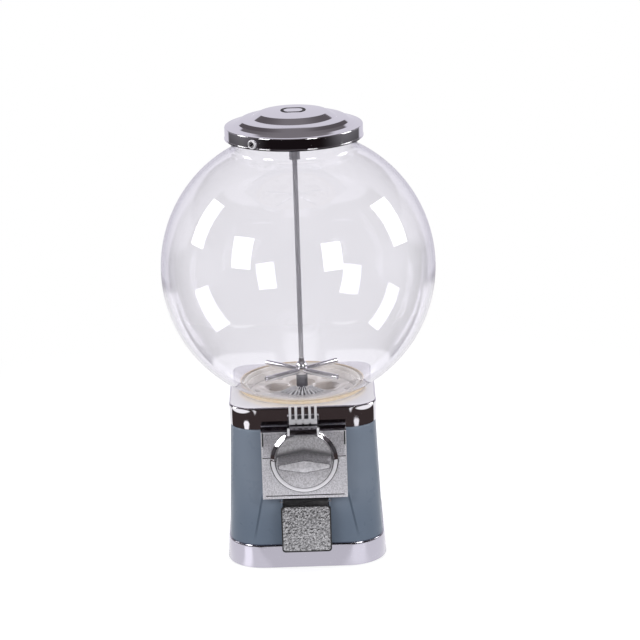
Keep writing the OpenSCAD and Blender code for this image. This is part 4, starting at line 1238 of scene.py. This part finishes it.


# Rounded square swept up its levels and widened a little across, all but its round inner edge. The top has
# a whiter, less metallic copy of the chrome: a painted bright reflection.
def makeCollar(shape):
    points, faces = squareSweep(shape.levels, 12, 28, cornerFlare)
    x, y, z = points.T
    innerHalf, innerRadius = shape.inside
    outer = (np.maximum(np.abs(x), np.abs(y)) > innerHalf) & (np.hypot(x, y) > innerRadius)
    low, high = shape.wide
    widening = low + (high - low) * np.clip((z - shape.wideFrom) / shape.wideOver, 0, 1)
    points[:, 0] = x * np.where(outer, widening, 1.0)
    collar = makePiece("topCollar", (points, faces), "chrome", "cabinet", ["top_collar"],
                       sharp=35)
    cutOut(collar, [block(*shape.notch)], sharp=35)
    collar.data.materials.append(look["collarTopReflection"])
    for polygon in collar.data.polygons:
        if polygon.center.z > shape.topFrom * mm:
            polygon.material_index = 1


makeCollar(named(collarShape))

bodyShape = {
    "levels": [  # half depth, corner radius, height
        (71.1, 30.8, 22.3), (71.3, 31.0, 22.6), (67.15, 28.1, 130.0), (67.0, 28.0, 131.2),
        (66.5, 27.6, 131.9), (65.6, 26.9, 132.2), (62.0, 24.0, 132.3), (62.0, 24.0, 130.2),
        (65.1, 26.0, 129.6), (69.3, 29.0, 22.3)],
    "steps": 26,
    "apronHalf": 40.0, "apronSpread": 0.2, "apronTop": 66.0, "apronDepth": 3.0, "apronLow": 26.0,
    "crease": (-0.5, 1.2), "apronFade": (6.0, 12.0),
    "mechanism": ((-35.5, -85.0, 72.5), (35.5, -40.0, 129.5)),
    "chuteHalf": 21.2, "chuteLow": 25.0, "chuteHigh": 68.8, "chuteDepth": (-85.0, -40.0),
    "cheekOut": 22.8, "cheekFront": -76.4, "cheekBack": -68.5,
}


# Forward push of the apron: depth * across * upward * fade. Across is one between two creases that part
# towards the ground, upward grows from zero at the apron's foot, and fade ends it above.
def apronBulge(x, y, z, outward):
    shape = named(bodyShape)
    half = shape.apronHalf + (shape.apronTop - z) * shape.apronSpread
    inner, outer = shape.crease
    across = 1 - smoothStep(np.abs(x), half + inner, half + outer)
    upward = np.clip((z - shape.apronLow) / (shape.apronTop - shape.apronLow), 0, 1)
    start, end = shape.apronFade
    fade = 1 - smoothStep(z, shape.apronTop + start, shape.apronTop + end)
    return shape.apronDepth * across * upward * fade * (outward[:, 1] < -0.7)


# Rounded square swept up its levels, the long side in even steps, with openings for the mechanism and the
# chute and a cheek on each side of the chute.
def makeBody(shape):
    first, second = (np.array(level) for level in shape.levels[1:3])
    share = np.linspace(0, 1, shape.steps)[:, None]
    rows = [shape.levels[0], *(first * (1 - share) + second * share), *shape.levels[3:]]
    body = makePiece("bodyShell", squareSweep(rows, 150, 18, apronBulge), "paint", "cabinet",
                     ["body_shell"], sharp=25)
    half, low, high = shape.chuteHalf, shape.chuteLow, shape.chuteHigh
    near, far = shape.chuteDepth
    cutOut(body, [block(*shape.mechanism), block((-half, near, low), (half, far, high))], sharp=25)
    front, back = shape.cheekFront, shape.cheekBack
    side = roundCorners([(back, low), (front, low), (front, high), (back, high)], (0.1, 0.1, 1.6, 0.1), 5)
    points, faces = sideSlab(side, half, shape.cheekOut, 0.3, 3)
    cheeks = [(points * (way, 1, 1), faces) for way in (1, -1)]
    makePiece("doorCheeks", together(cheeks), "paint", "cabinet")


makeBody(named(bodyShape))

baseShape = {
    "levels": [  # half depth, corner radius, height
        (2.6, 2.6, 6.4), (6.5, 6.5, 6.4), (6.5, 6.5, 0.0), (72.9, 35.0, 0.0), (73.5, 35.6, 0.25),
        (73.9, 36.0, 1.0), (72.6, 32.4, 20.0), (72.5, 32.2, 21.4), (72.2, 31.9, 22.0), (71.6, 31.3, 22.3),
        (69.0, 29.0, 22.3), (69.0, 29.0, 25.8), (68.7, 28.8, 26.0), (67.2, 27.0, 26.0), (67.2, 27.0, 18.3),
        (70.0, 31.0, 18.3), (70.6, 32.0, 3.0), (10.5, 10.5, 3.0), (10.0, 10.0, 3.5), (10.0, 10.0, 13.6),
        (9.6, 9.6, 14.0), (2.6, 2.6, 14.0)],
    "standPitch": 45.0, "standHole": 2.75, "screwPlace": (5.0, -26.0), "screwHole": 1.55,
    "holeDepth": (-2.0, 5.0), "chuteNotch": ((-24.0, -73.0, 22.3), (24.0, -60.0, 30.0)),
}


# Rounded square swept round its whole section: up the outside, over the rim, down the inside and up the
# boss in the middle. Holes for a stand's bolts and for the chute's screws go through the floor.
def makeBase(shape):
    base = makePiece("basePan", squareSweep(shape.levels, 12, 24), "baseAluminium", "cabinet",
                     ["base_pan"], sharp=35)
    hole = roundBar(shape.standHole, *shape.holeDepth, 40)
    screw = roundBar(shape.screwHole, *shape.holeDepth, 24)
    pitch = shape.standPitch
    x, y = shape.screwPlace
    holes = [moved(hole, (sx * pitch, sy * pitch, 0)) for sx in (-1, 1) for sy in (-1, 1)]
    holes += [moved(screw, (sx * x, y, 0)) for sx in (-1, 1)]
    cutOut(base, holes + [block(*shape.chuteNotch)], sharp=35)


makeBase(named(baseShape))
print("collar, body and base")


# ---- coin mechanism

knobAxis = 107.0


# Solid drawn round local Z, set upright round an axis that points forward at a height.
def onAxis(solid, height=knobAxis):
    return moved(upright(solid), (0, 0, height))


# Section of radius and depth carried round such an axis from one angle to another.
def arcBar(section, start, end, steps, height=knobAxis):
    return onAxis(carried(section, start, end, steps), height)


# Round hole along the knob's axis, between two depths.
def knobHole(radius, front, back, steps=96):
    return upright(roundBar(radius, front, back, steps, (0, knobAxis)))


plateShape = {
    "half": 39.0, "front": -79.0, "bottom": 69.5, "top": 136.0, "bevel": 1.3,
    "backTop": -67.6, "backBottom": -70.1,
    "coinPocket": (29.6, -76.6, -60.0), "shaftHole": (4.3, -85.0, -60.0, 48),
    "knobHole": (28.5, -90.0, -70.0), "room": ((-34.9, -72.6, 73.1), (34.9, -60.0, 128.9)),
    "slot": ((-12.6, -76.6, 107.0), (12.6, -72.5, 140.0)),
    "panelHalf": 36.9, "panelLow": 110.0, "panelHigh": 133.6, "panelRaise": 0.8, "panelEdge": 0.45,
    "bandLow": 134.0, "bandDepth": 1.0, "bandHigh": 135.6,
    "grooveLow": 120.5, "groove": 1.2, "grooveDeep": 1.0, "lipLine": 72.1, "lipHalf": 36.0,
    "lineDepth": 1.8, "lineWidth": 1.0, "stepLine": 109.0, "stepLength": 6.0, "lineSunk": 0.35,
    "ringGap": (0.35, 0.9), "ringEdges": (26.35, 31.2), "ringGapAngles": (179, 361, 91),
}


# Low and high corners in x and z of the plate's thin grooves, each with its own extra depth.
def plateGrooves(shape):
    half, low, step, line = shape.lipHalf, shape.lipLine, shape.stepLine, shape.lineWidth
    inner, outer, length = shape.panelHalf, shape.panelHalf + shape.groove, shape.stepLength
    foot, head, deep = shape.grooveLow, shape.bandLow - 0.2, shape.grooveDeep
    return [(-half, low, half, low + line, 0.0), (-outer, step, length - inner, step + line, 0.0),
            (inner - length, step, outer, step + line, 0.0), (-outer, foot, -inner, head, deep),
            (inner, foot, outer, head, deep)]


# Cast plate drawn from its side, with a raised panel, grooves whose black bottoms are painted shade, and a
# top edge in dark metal that paints its dark reflection.
def makeFaceplate(shape):
    front, top, bevel, half = shape.front, shape.top, shape.bevel, shape.half
    side = roundCorners([(front, shape.bottom), (front, shape.bandLow),
                         (front + bevel, shape.bandHigh - 1.0), (shape.backTop, top - 1.0),
                         (shape.backBottom, shape.bottom)], (0.5, 0.2, 0.3, 0.2, 0.2), 4)
    plate = makePiece("faceplate", sideSlab(side, -half, half), "castZinc", "cabinet",
                      ["faceplate"], sharp=35)
    holes = [knobHole(*shape.coinPocket), knobHole(*shape.shaftHole), block(*shape.room), block(*shape.slot)]
    for hole in holes:
        cutOut(plate, [hole], sharp=35)
    middle = (shape.panelLow + shape.panelHigh) / 2
    outline = roundCorners(rectangle(shape.panelHalf, shape.panelHigh - middle, (0, middle)), 0.6, 4)
    raised = upright(slab(outline, front - shape.panelRaise, front + 0.3, 0.05, shape.panelEdge, 4))
    panel = makePiece("platePanel", raised, "panelZinc", "cabinet", sharp=35)
    cutOut(panel, [knobHole(*shape.knobHole)], sharp=35)
    depth, bottom, grooves = front + shape.lineDepth, front + shape.lineSunk, plateGrooves(shape)
    cuts = [block((a, front - 1, b), (c, depth + deeper, d)) for a, b, c, d, deeper in grooves]
    cutOut(plate, cuts, sharp=35)
    # Painted shade: black solids in the bottoms of the grooves.
    dark = [block((a, bottom, b), (c, depth + deeper + 0.1, d)) for a, b, c, d, deeper in grooves]
    makePiece("plateGrooveShade", together(dark), "chuteBlack", "cabinet")
    for radius in shape.ringEdges:
        cutOut(plate, [arcBar(rectangle(*shape.ringGap, (radius, front)), *shape.ringGapAngles)], sharp=35)
    band = roundCorners([(front - 0.1, shape.bandLow), (front + shape.bandDepth - 0.1, shape.bandHigh),
                         (shape.backTop, top), (shape.backTop, top - 1.1),
                         (front + 2 * bevel, shape.bandLow + 0.4)], (0.2, 0.7, 0.3, 0.1, 0.1), 5)
    # The top band in dark metal: painted dark reflection.
    strip = makePiece("plateTop", sideSlab(band, -half, half), "chromeDarkReflection", "cabinet",
                      sharp=35)
    cutOut(strip, [block(*shape.slot)], sharp=35)


makeFaceplate(named(plateShape))

ringShape = {
    "inner": 26.55, "outer": 31.0, "back": -79.1, "low": -81.2, "high": -84.0, "slope": 2.3,
    "rim": (0.9, 0.5, 0.8), "stepHeight": 0.8, "blockHalf": 14.8, "edgeStep": 0.42, "shadow": (0.25, 0.1),
}


# Ring round the knob: a low half below, with a dark line of painted shadow on both sides of it, and a high
# half above that ends beside the coin entry, where cos t = half the entry's width / the radius.
def makeRing(shape):
    inner, outer, back, step = shape.inner, shape.outer, shape.back, shape.edgeStep
    flush = roundCorners([(inner + step, back), (outer - step, back), (outer - step, shape.low),
                          (inner + step, shape.low)], (0.1, 0.1, 0.5, 0.4), 5)
    thick, sunk = shape.shadow
    shadow = rectangle((outer - inner) / 2 + step, thick, ((inner + outer) / 2, back - sunk))
    across, outside, inside = shape.rim
    high = shape.high
    raised = roundCorners([(inner, back), (outer, back), (outer, high + shape.slope),
                           (outer - across, high + shape.slope - outside), (inner + across, high),
                           (inner, high + inside)], (0.1, 0.1, 0.3, 0.2, 0.2, 0.2), 4)
    lift = math.degrees(math.asin(shape.stepHeight / outer))
    stop = math.degrees(math.acos(shape.blockHalf / outer))
    solids = [arcBar(raised, lift, stop, 30), arcBar(raised, 180 - stop, 180 - lift, 30)]
    makePiece("guardRing", together(solids), "chrome", "cabinet", ["guard_ring"], sharp=45)
    makePiece("ringBase", arcBar(flush, 180 - lift, 360 + lift, 97), "combMetal", "cabinet",
              sharp=45)
    # Painted shadow: a dark strip behind the low half shows as a line on each side.
    makePiece("ringShadowLine", arcBar(shadow, 180, 360, 97), "chuteBlack", "cabinet")


makeRing(named(ringShape))

entryShape = {
    "half": 14.4, "front": -86.5, "back": -72.6, "low": 133.1, "high": 138.6, "plateFront": -79.1,
    "roof": 136.1, "nose": 1.4, "frontThick": 3.1, "foot": 0.6,
    "arcRadius": 27.2, "arcThick": 1.8, "arcDeep": (1.6, 0.4), "arcHalf": 7.6, "arcAxis": 109.3,
    "slot": ((-12.6, -76.6, 133.0), (12.6, -73.2, 142.0)),
    "post": (12.2, 14.7), "postOut": 0.7, "postPast": 0.3, "postBack": 4.0, "postHalf": 1.1,
}


# Block with a rounded nose, hollow underneath, with an arched recess in its face and the coin slot through
# its top, between two bright posts that paint the highlights on its ends; its dark metal paints its dark
# reflection.
def makeCoinEntry(shape):
    front, back, low, high, foot = shape.front, shape.back, shape.low, shape.high, shape.low + shape.foot
    side = roundCorners([(front, low), (front, high), (back, high), (back, shape.roof),
                         (shape.plateFront, shape.roof), (shape.plateFront, foot),
                         (front + shape.frontThick, foot), (front + shape.frontThick, low)],
                        (0.5, shape.nose, 0.4, 0.1, 0.1, 0.1, 0.2, 0.3), 5)
    entry = makePiece("coinEntry", sideSlab(side, -shape.half, shape.half, 0.6), "chromeDarkReflection",
                      "cabinet", ["coin_entry"], sharp=35)
    half = math.degrees(math.asin(shape.arcHalf / shape.arcRadius))
    depth, sunk = shape.arcDeep
    section = rectangle(shape.arcThick / 2, depth, (shape.arcRadius - shape.arcThick / 2, front + sunk))
    cutOut(entry, [arcBar(section, 90 - half, 90 + half, 33, shape.arcAxis)], sharp=35)
    cutOut(entry, [block(*shape.slot)], sharp=35)
    near, far = front - shape.postOut, front + shape.postBack
    bottom, top = low - shape.postPast, high + shape.postPast
    post = roundCorners([(near, bottom), (near, top), (far, top), (far, bottom)], (0.6, 1.2, 0.3, 0.3), 4)
    middle, thick = sum(shape.post) / 2, shape.postHalf
    posts = [sideSlab(post, x - thick, x + thick) for x in (-middle, middle)]
    makePiece("entryHighlightPosts", together(posts), "combMetal", "cabinet", sharp=40)


makeCoinEntry(named(entryShape))

combShape = {
    "barX": (-11.7, -6.3, 0.0, 6.3, 11.7), "barWidth": 2.4, "front": -72.4, "back": -69.2,
    "low": 138.7, "strip": 4.7, "high": 156.2, "half": 12.9, "notch": 1.0, "notchBack": 0.9,
}


# A strip with five rounded bars standing on it and a notch under each inner bar; its back faces are dark,
# painted shade.
def makeComb(shape):
    front, back, low, high = shape.front, shape.back, shape.low, shape.high
    split = low + shape.strip
    face = roundCorners([(front, low), (front, split), (back, split), (back, low)], 0.4, 3)
    solids = [sideSlab(face, -shape.half, shape.half, 0.4, 3)]
    tall = roundCorners([(front, split - 1), (front, high), (back, high), (back, split - 1)],
                        (0.1, 1.2, 0.6, 0.1), 5)
    half = shape.barWidth / 2
    solids += [sideSlab(tall, x - half, x + half) for x in shape.barX]
    guide = makePiece("coinGuide", together(solids), "combMetal", "cabinet", ["coin_guide"],
                      sharp=40)
    notch = shape.notch
    end = back - shape.notchBack
    notches = [block((x - notch, front - 1, low - 1), (x + notch, end, low + 2 * notch))
               for x in shape.barX[1:4]]
    cutOut(guide, notches, sharp=40)
    # Painted shade: the faces towards the back take the dark felt finish.
    guide.data.materials.append(look["brushFelt"])
    for polygon in guide.data.polygons:
        polygon.material_index = int(polygon.normal.y > 0.7)


makeComb(named(combShape))

knobShape = {
    "radius": 26.1, "face": -83.0, "back": -79.4, "edge": 0.4, "bore": (4.02, -89.0, -78.4),
    "gripHalf": 24.7, "gripRoot": (9.0, 4.0), "gripFace": (6.6, 2.6), "gripTop": -99.0, "gripRound": 0.5,
    "gripBody": -98.3, "gripFoot": 0.6, "capInset": 1.2, "capSink": 0.4,
}


# Long six-sided outline of the grip with rounded corners: its half heights in the middle and at the tips
# go from those at the root to those at the face as share goes from 0 to 1.
def gripOutline(shape, share, inset=0.0):
    root, face = np.array(shape.gripRoot), np.array(shape.gripFace)
    middle, tip = root * (1 - share) + face * share - inset
    half = shape.gripHalf - 0.5 * share - inset
    corners = [(-half, -tip), (0, -middle), (half, -tip), (half, tip), (0, middle), (-half, tip)]
    return roundCorners(corners, (1.4, 3.0, 1.4, 1.4, 3.0, 1.4), 5)


# A round disc, a grip lofted from its foot to a rounded edge, and the grip's face as a thin cap on it.
def makeKnob(shape):
    disc = slab(circleOutline(shape.radius, 144), shape.face, shape.back, 0.3, shape.edge, 4)
    knob = makePiece("knob", onAxis(disc), "knobMetal", "knob", ["knob"], sharp=40)
    bore = knobHole(*shape.bore, 48)
    cutOut(knob, [bore], sharp=40)
    outlines, depths = [], []
    for t in np.linspace(0, np.pi / 2, 6)[::-1]:
        outlines.append(gripOutline(shape, 1.0, shape.gripRound * (1 - math.cos(t))))
        depths.append(shape.gripBody + shape.gripRound * (1 - math.sin(t)))
    foot = shape.face + shape.capSink
    for share in (0.6, 0.3, 0.05, 0.0):
        outlines.append(gripOutline(shape, share, -shape.gripFoot * (1 - share) ** 8))
        depths.append(shape.gripBody * share + foot * (1 - share))
    order = np.argsort(depths)
    grip = lofted([outlines[k] for k in order], [depths[k] for k in order])
    # The grip's sides take the darker copy of the knob's metal: painted shade.
    grip = makePiece("knobGrip", onAxis(grip), "knobSideShaded", "knob", sharp=30)
    cutOut(grip, [bore], sharp=30)
    outline = gripOutline(shape, 1.0, shape.capInset)
    cap = slab(outline, shape.gripTop, shape.gripBody + shape.capSink, 0.05, 0.25, 4)
    makePiece("knobFace", onAxis(cap), "knobFace", "knob", sharp=30)


makeKnob(named(knobShape))
print("coin mechanism")


# ---- chute door

doorShape = {
    "half": 23.0, "low": 16.9, "high": 62.3, "front": -79.5, "back": -77.0, "round": 3.2, "cut": 2.6,
    "border": 1.3, "recess": 1.0, "bump": 0.2, "cell": 1.4, "fine": (0.5, 0.55), "seed": 11,
    "noiseStart": 200, "calmEdge": 0.06, "innermost": 0.004,
    "panelFront": -79.1, "panelBack": 0.15, "panelRows": 44, "panelPoints": 360,
    "webLow": 58.0, "webHigh": 62.2, "webReach": 2.4, "webRise": 0.9, "webTop": 0.5,
    "knuckleHalf": 20.6, "knuckle": 2.6, "knuckleEdge": 0.3, "pin": 1.56, "hinge": (-75.0, 65.5),
}


# Door outline in x and z: round lower corners, cut upper corners, drawn in by inset.
def doorOutline(shape, inset=0.0):
    half, low, high = shape.half - inset, shape.low + inset, shape.high - inset
    cut, bend = shape.cut, shape.round - inset / 2
    corners = [(-half, low), (half, low), (half, high - cut), (half - cut, high), (-half + cut, high),
               (-half, high - cut)]
    return roundCorners(corners, (bend, bend, 0.8, 0.8, 0.8, 0.8), 6)


# Points spaced evenly by length along a closed outline.
def evenly(outline, count):
    ring = np.concatenate([outline, outline[:1]])
    length = np.concatenate([[0], np.cumsum(np.linalg.norm(np.diff(ring, axis=0), axis=1))])
    at = np.linspace(0, length[-1], count, endpoint=False)
    return np.stack([np.interp(at, length, ring[:, 0]), np.interp(at, length, ring[:, 1])], 1)


# Frame with a recess, hung from its hinge by a web and a knuckle, round a pin that stays with the body.
def makeDoorFrame(shape):
    front, back, half, edge = shape.front, shape.back, shape.knuckleHalf, shape.knuckleEdge
    frameSolid = upright(slab(doorOutline(shape), front, back, 0.3, 0.35, 4))
    door = makePiece("chuteDoor", frameSolid, "doorBlack", "door", ["chute_door"], sharp=35)
    recess = lofted([doorOutline(shape, shape.border - 0.1)] * 2, [front - 2, front + shape.recess])
    cutOut(door, [upright(recess)], sharp=35)
    y, z = shape.hinge
    reach = shape.webReach
    corners = [(back - 0.1, shape.webLow), (front + 1, shape.webHigh), (y - reach, z + shape.webRise),
               (y, z + shape.webTop), (y, z - reach)]
    web = sideSlab(roundCorners(corners, 0.2, 3), -half, half, 0.2, 3)
    hinge = makePiece("doorHinge", web, "doorBlack", "door", sharp=35)
    cutOut(hinge, [crosswise(roundBar(shape.pin, -half - 1, half + 1, 48, (y, z)))], sharp=35)
    radii = (shape.knuckle - edge, shape.knuckle, shape.pin)
    narrow, wide, bore = (circleOutline(radius, 48, (y, z)) for radius in radii)
    barrel = looped([narrow, wide, wide, narrow, bore, bore],
                    [-half, edge - half, half - edge, half, half, -half])
    makePiece("doorKnuckle", crosswise(barrel), "doorBlack", "door", sharp=35)


# Hammered panel: rings of points from the border to the middle, pushed in and out by two sizes of lattice
# noise, which fades to nothing at the border.
def makeDoorPanel(shape):
    rim = evenly(doorOutline(shape, shape.border), shape.panelPoints)
    middle = np.array([0.0, (shape.low + shape.high) / 2])
    share = np.linspace(1, shape.innermost, shape.panelRows)
    rows = middle + (rim - middle)[None] * share[:, None, None]
    u, v = rows[..., 0], rows[..., 1]
    start, (weight, finer) = shape.noiseStart, shape.fine
    noise = latticeNoise(u + start, v + start, shape.cell, shape.seed)
    noise += weight * latticeNoise(u + start, v + start, shape.cell * finer, shape.seed + 1)
    depth = shape.panelFront + shape.bump * noise * smoothStep(1 - share, 0.0, shape.calmEdge)[:, None]
    front = np.stack([u, depth, v], -1)
    back = front[0] * (1, 0, 1) + (0, shape.front + shape.recess + shape.panelBack, 0)
    points = np.concatenate([back[None], front])
    makePiece("doorPanel", (points.reshape(-1, 3), cappedFaces(*points.shape[:2])), "hammered", "door",
              ["door_panel"], sharp=80)


makeDoorFrame(named(doorShape))
makeDoorPanel(named(doorShape))
print("chute door")
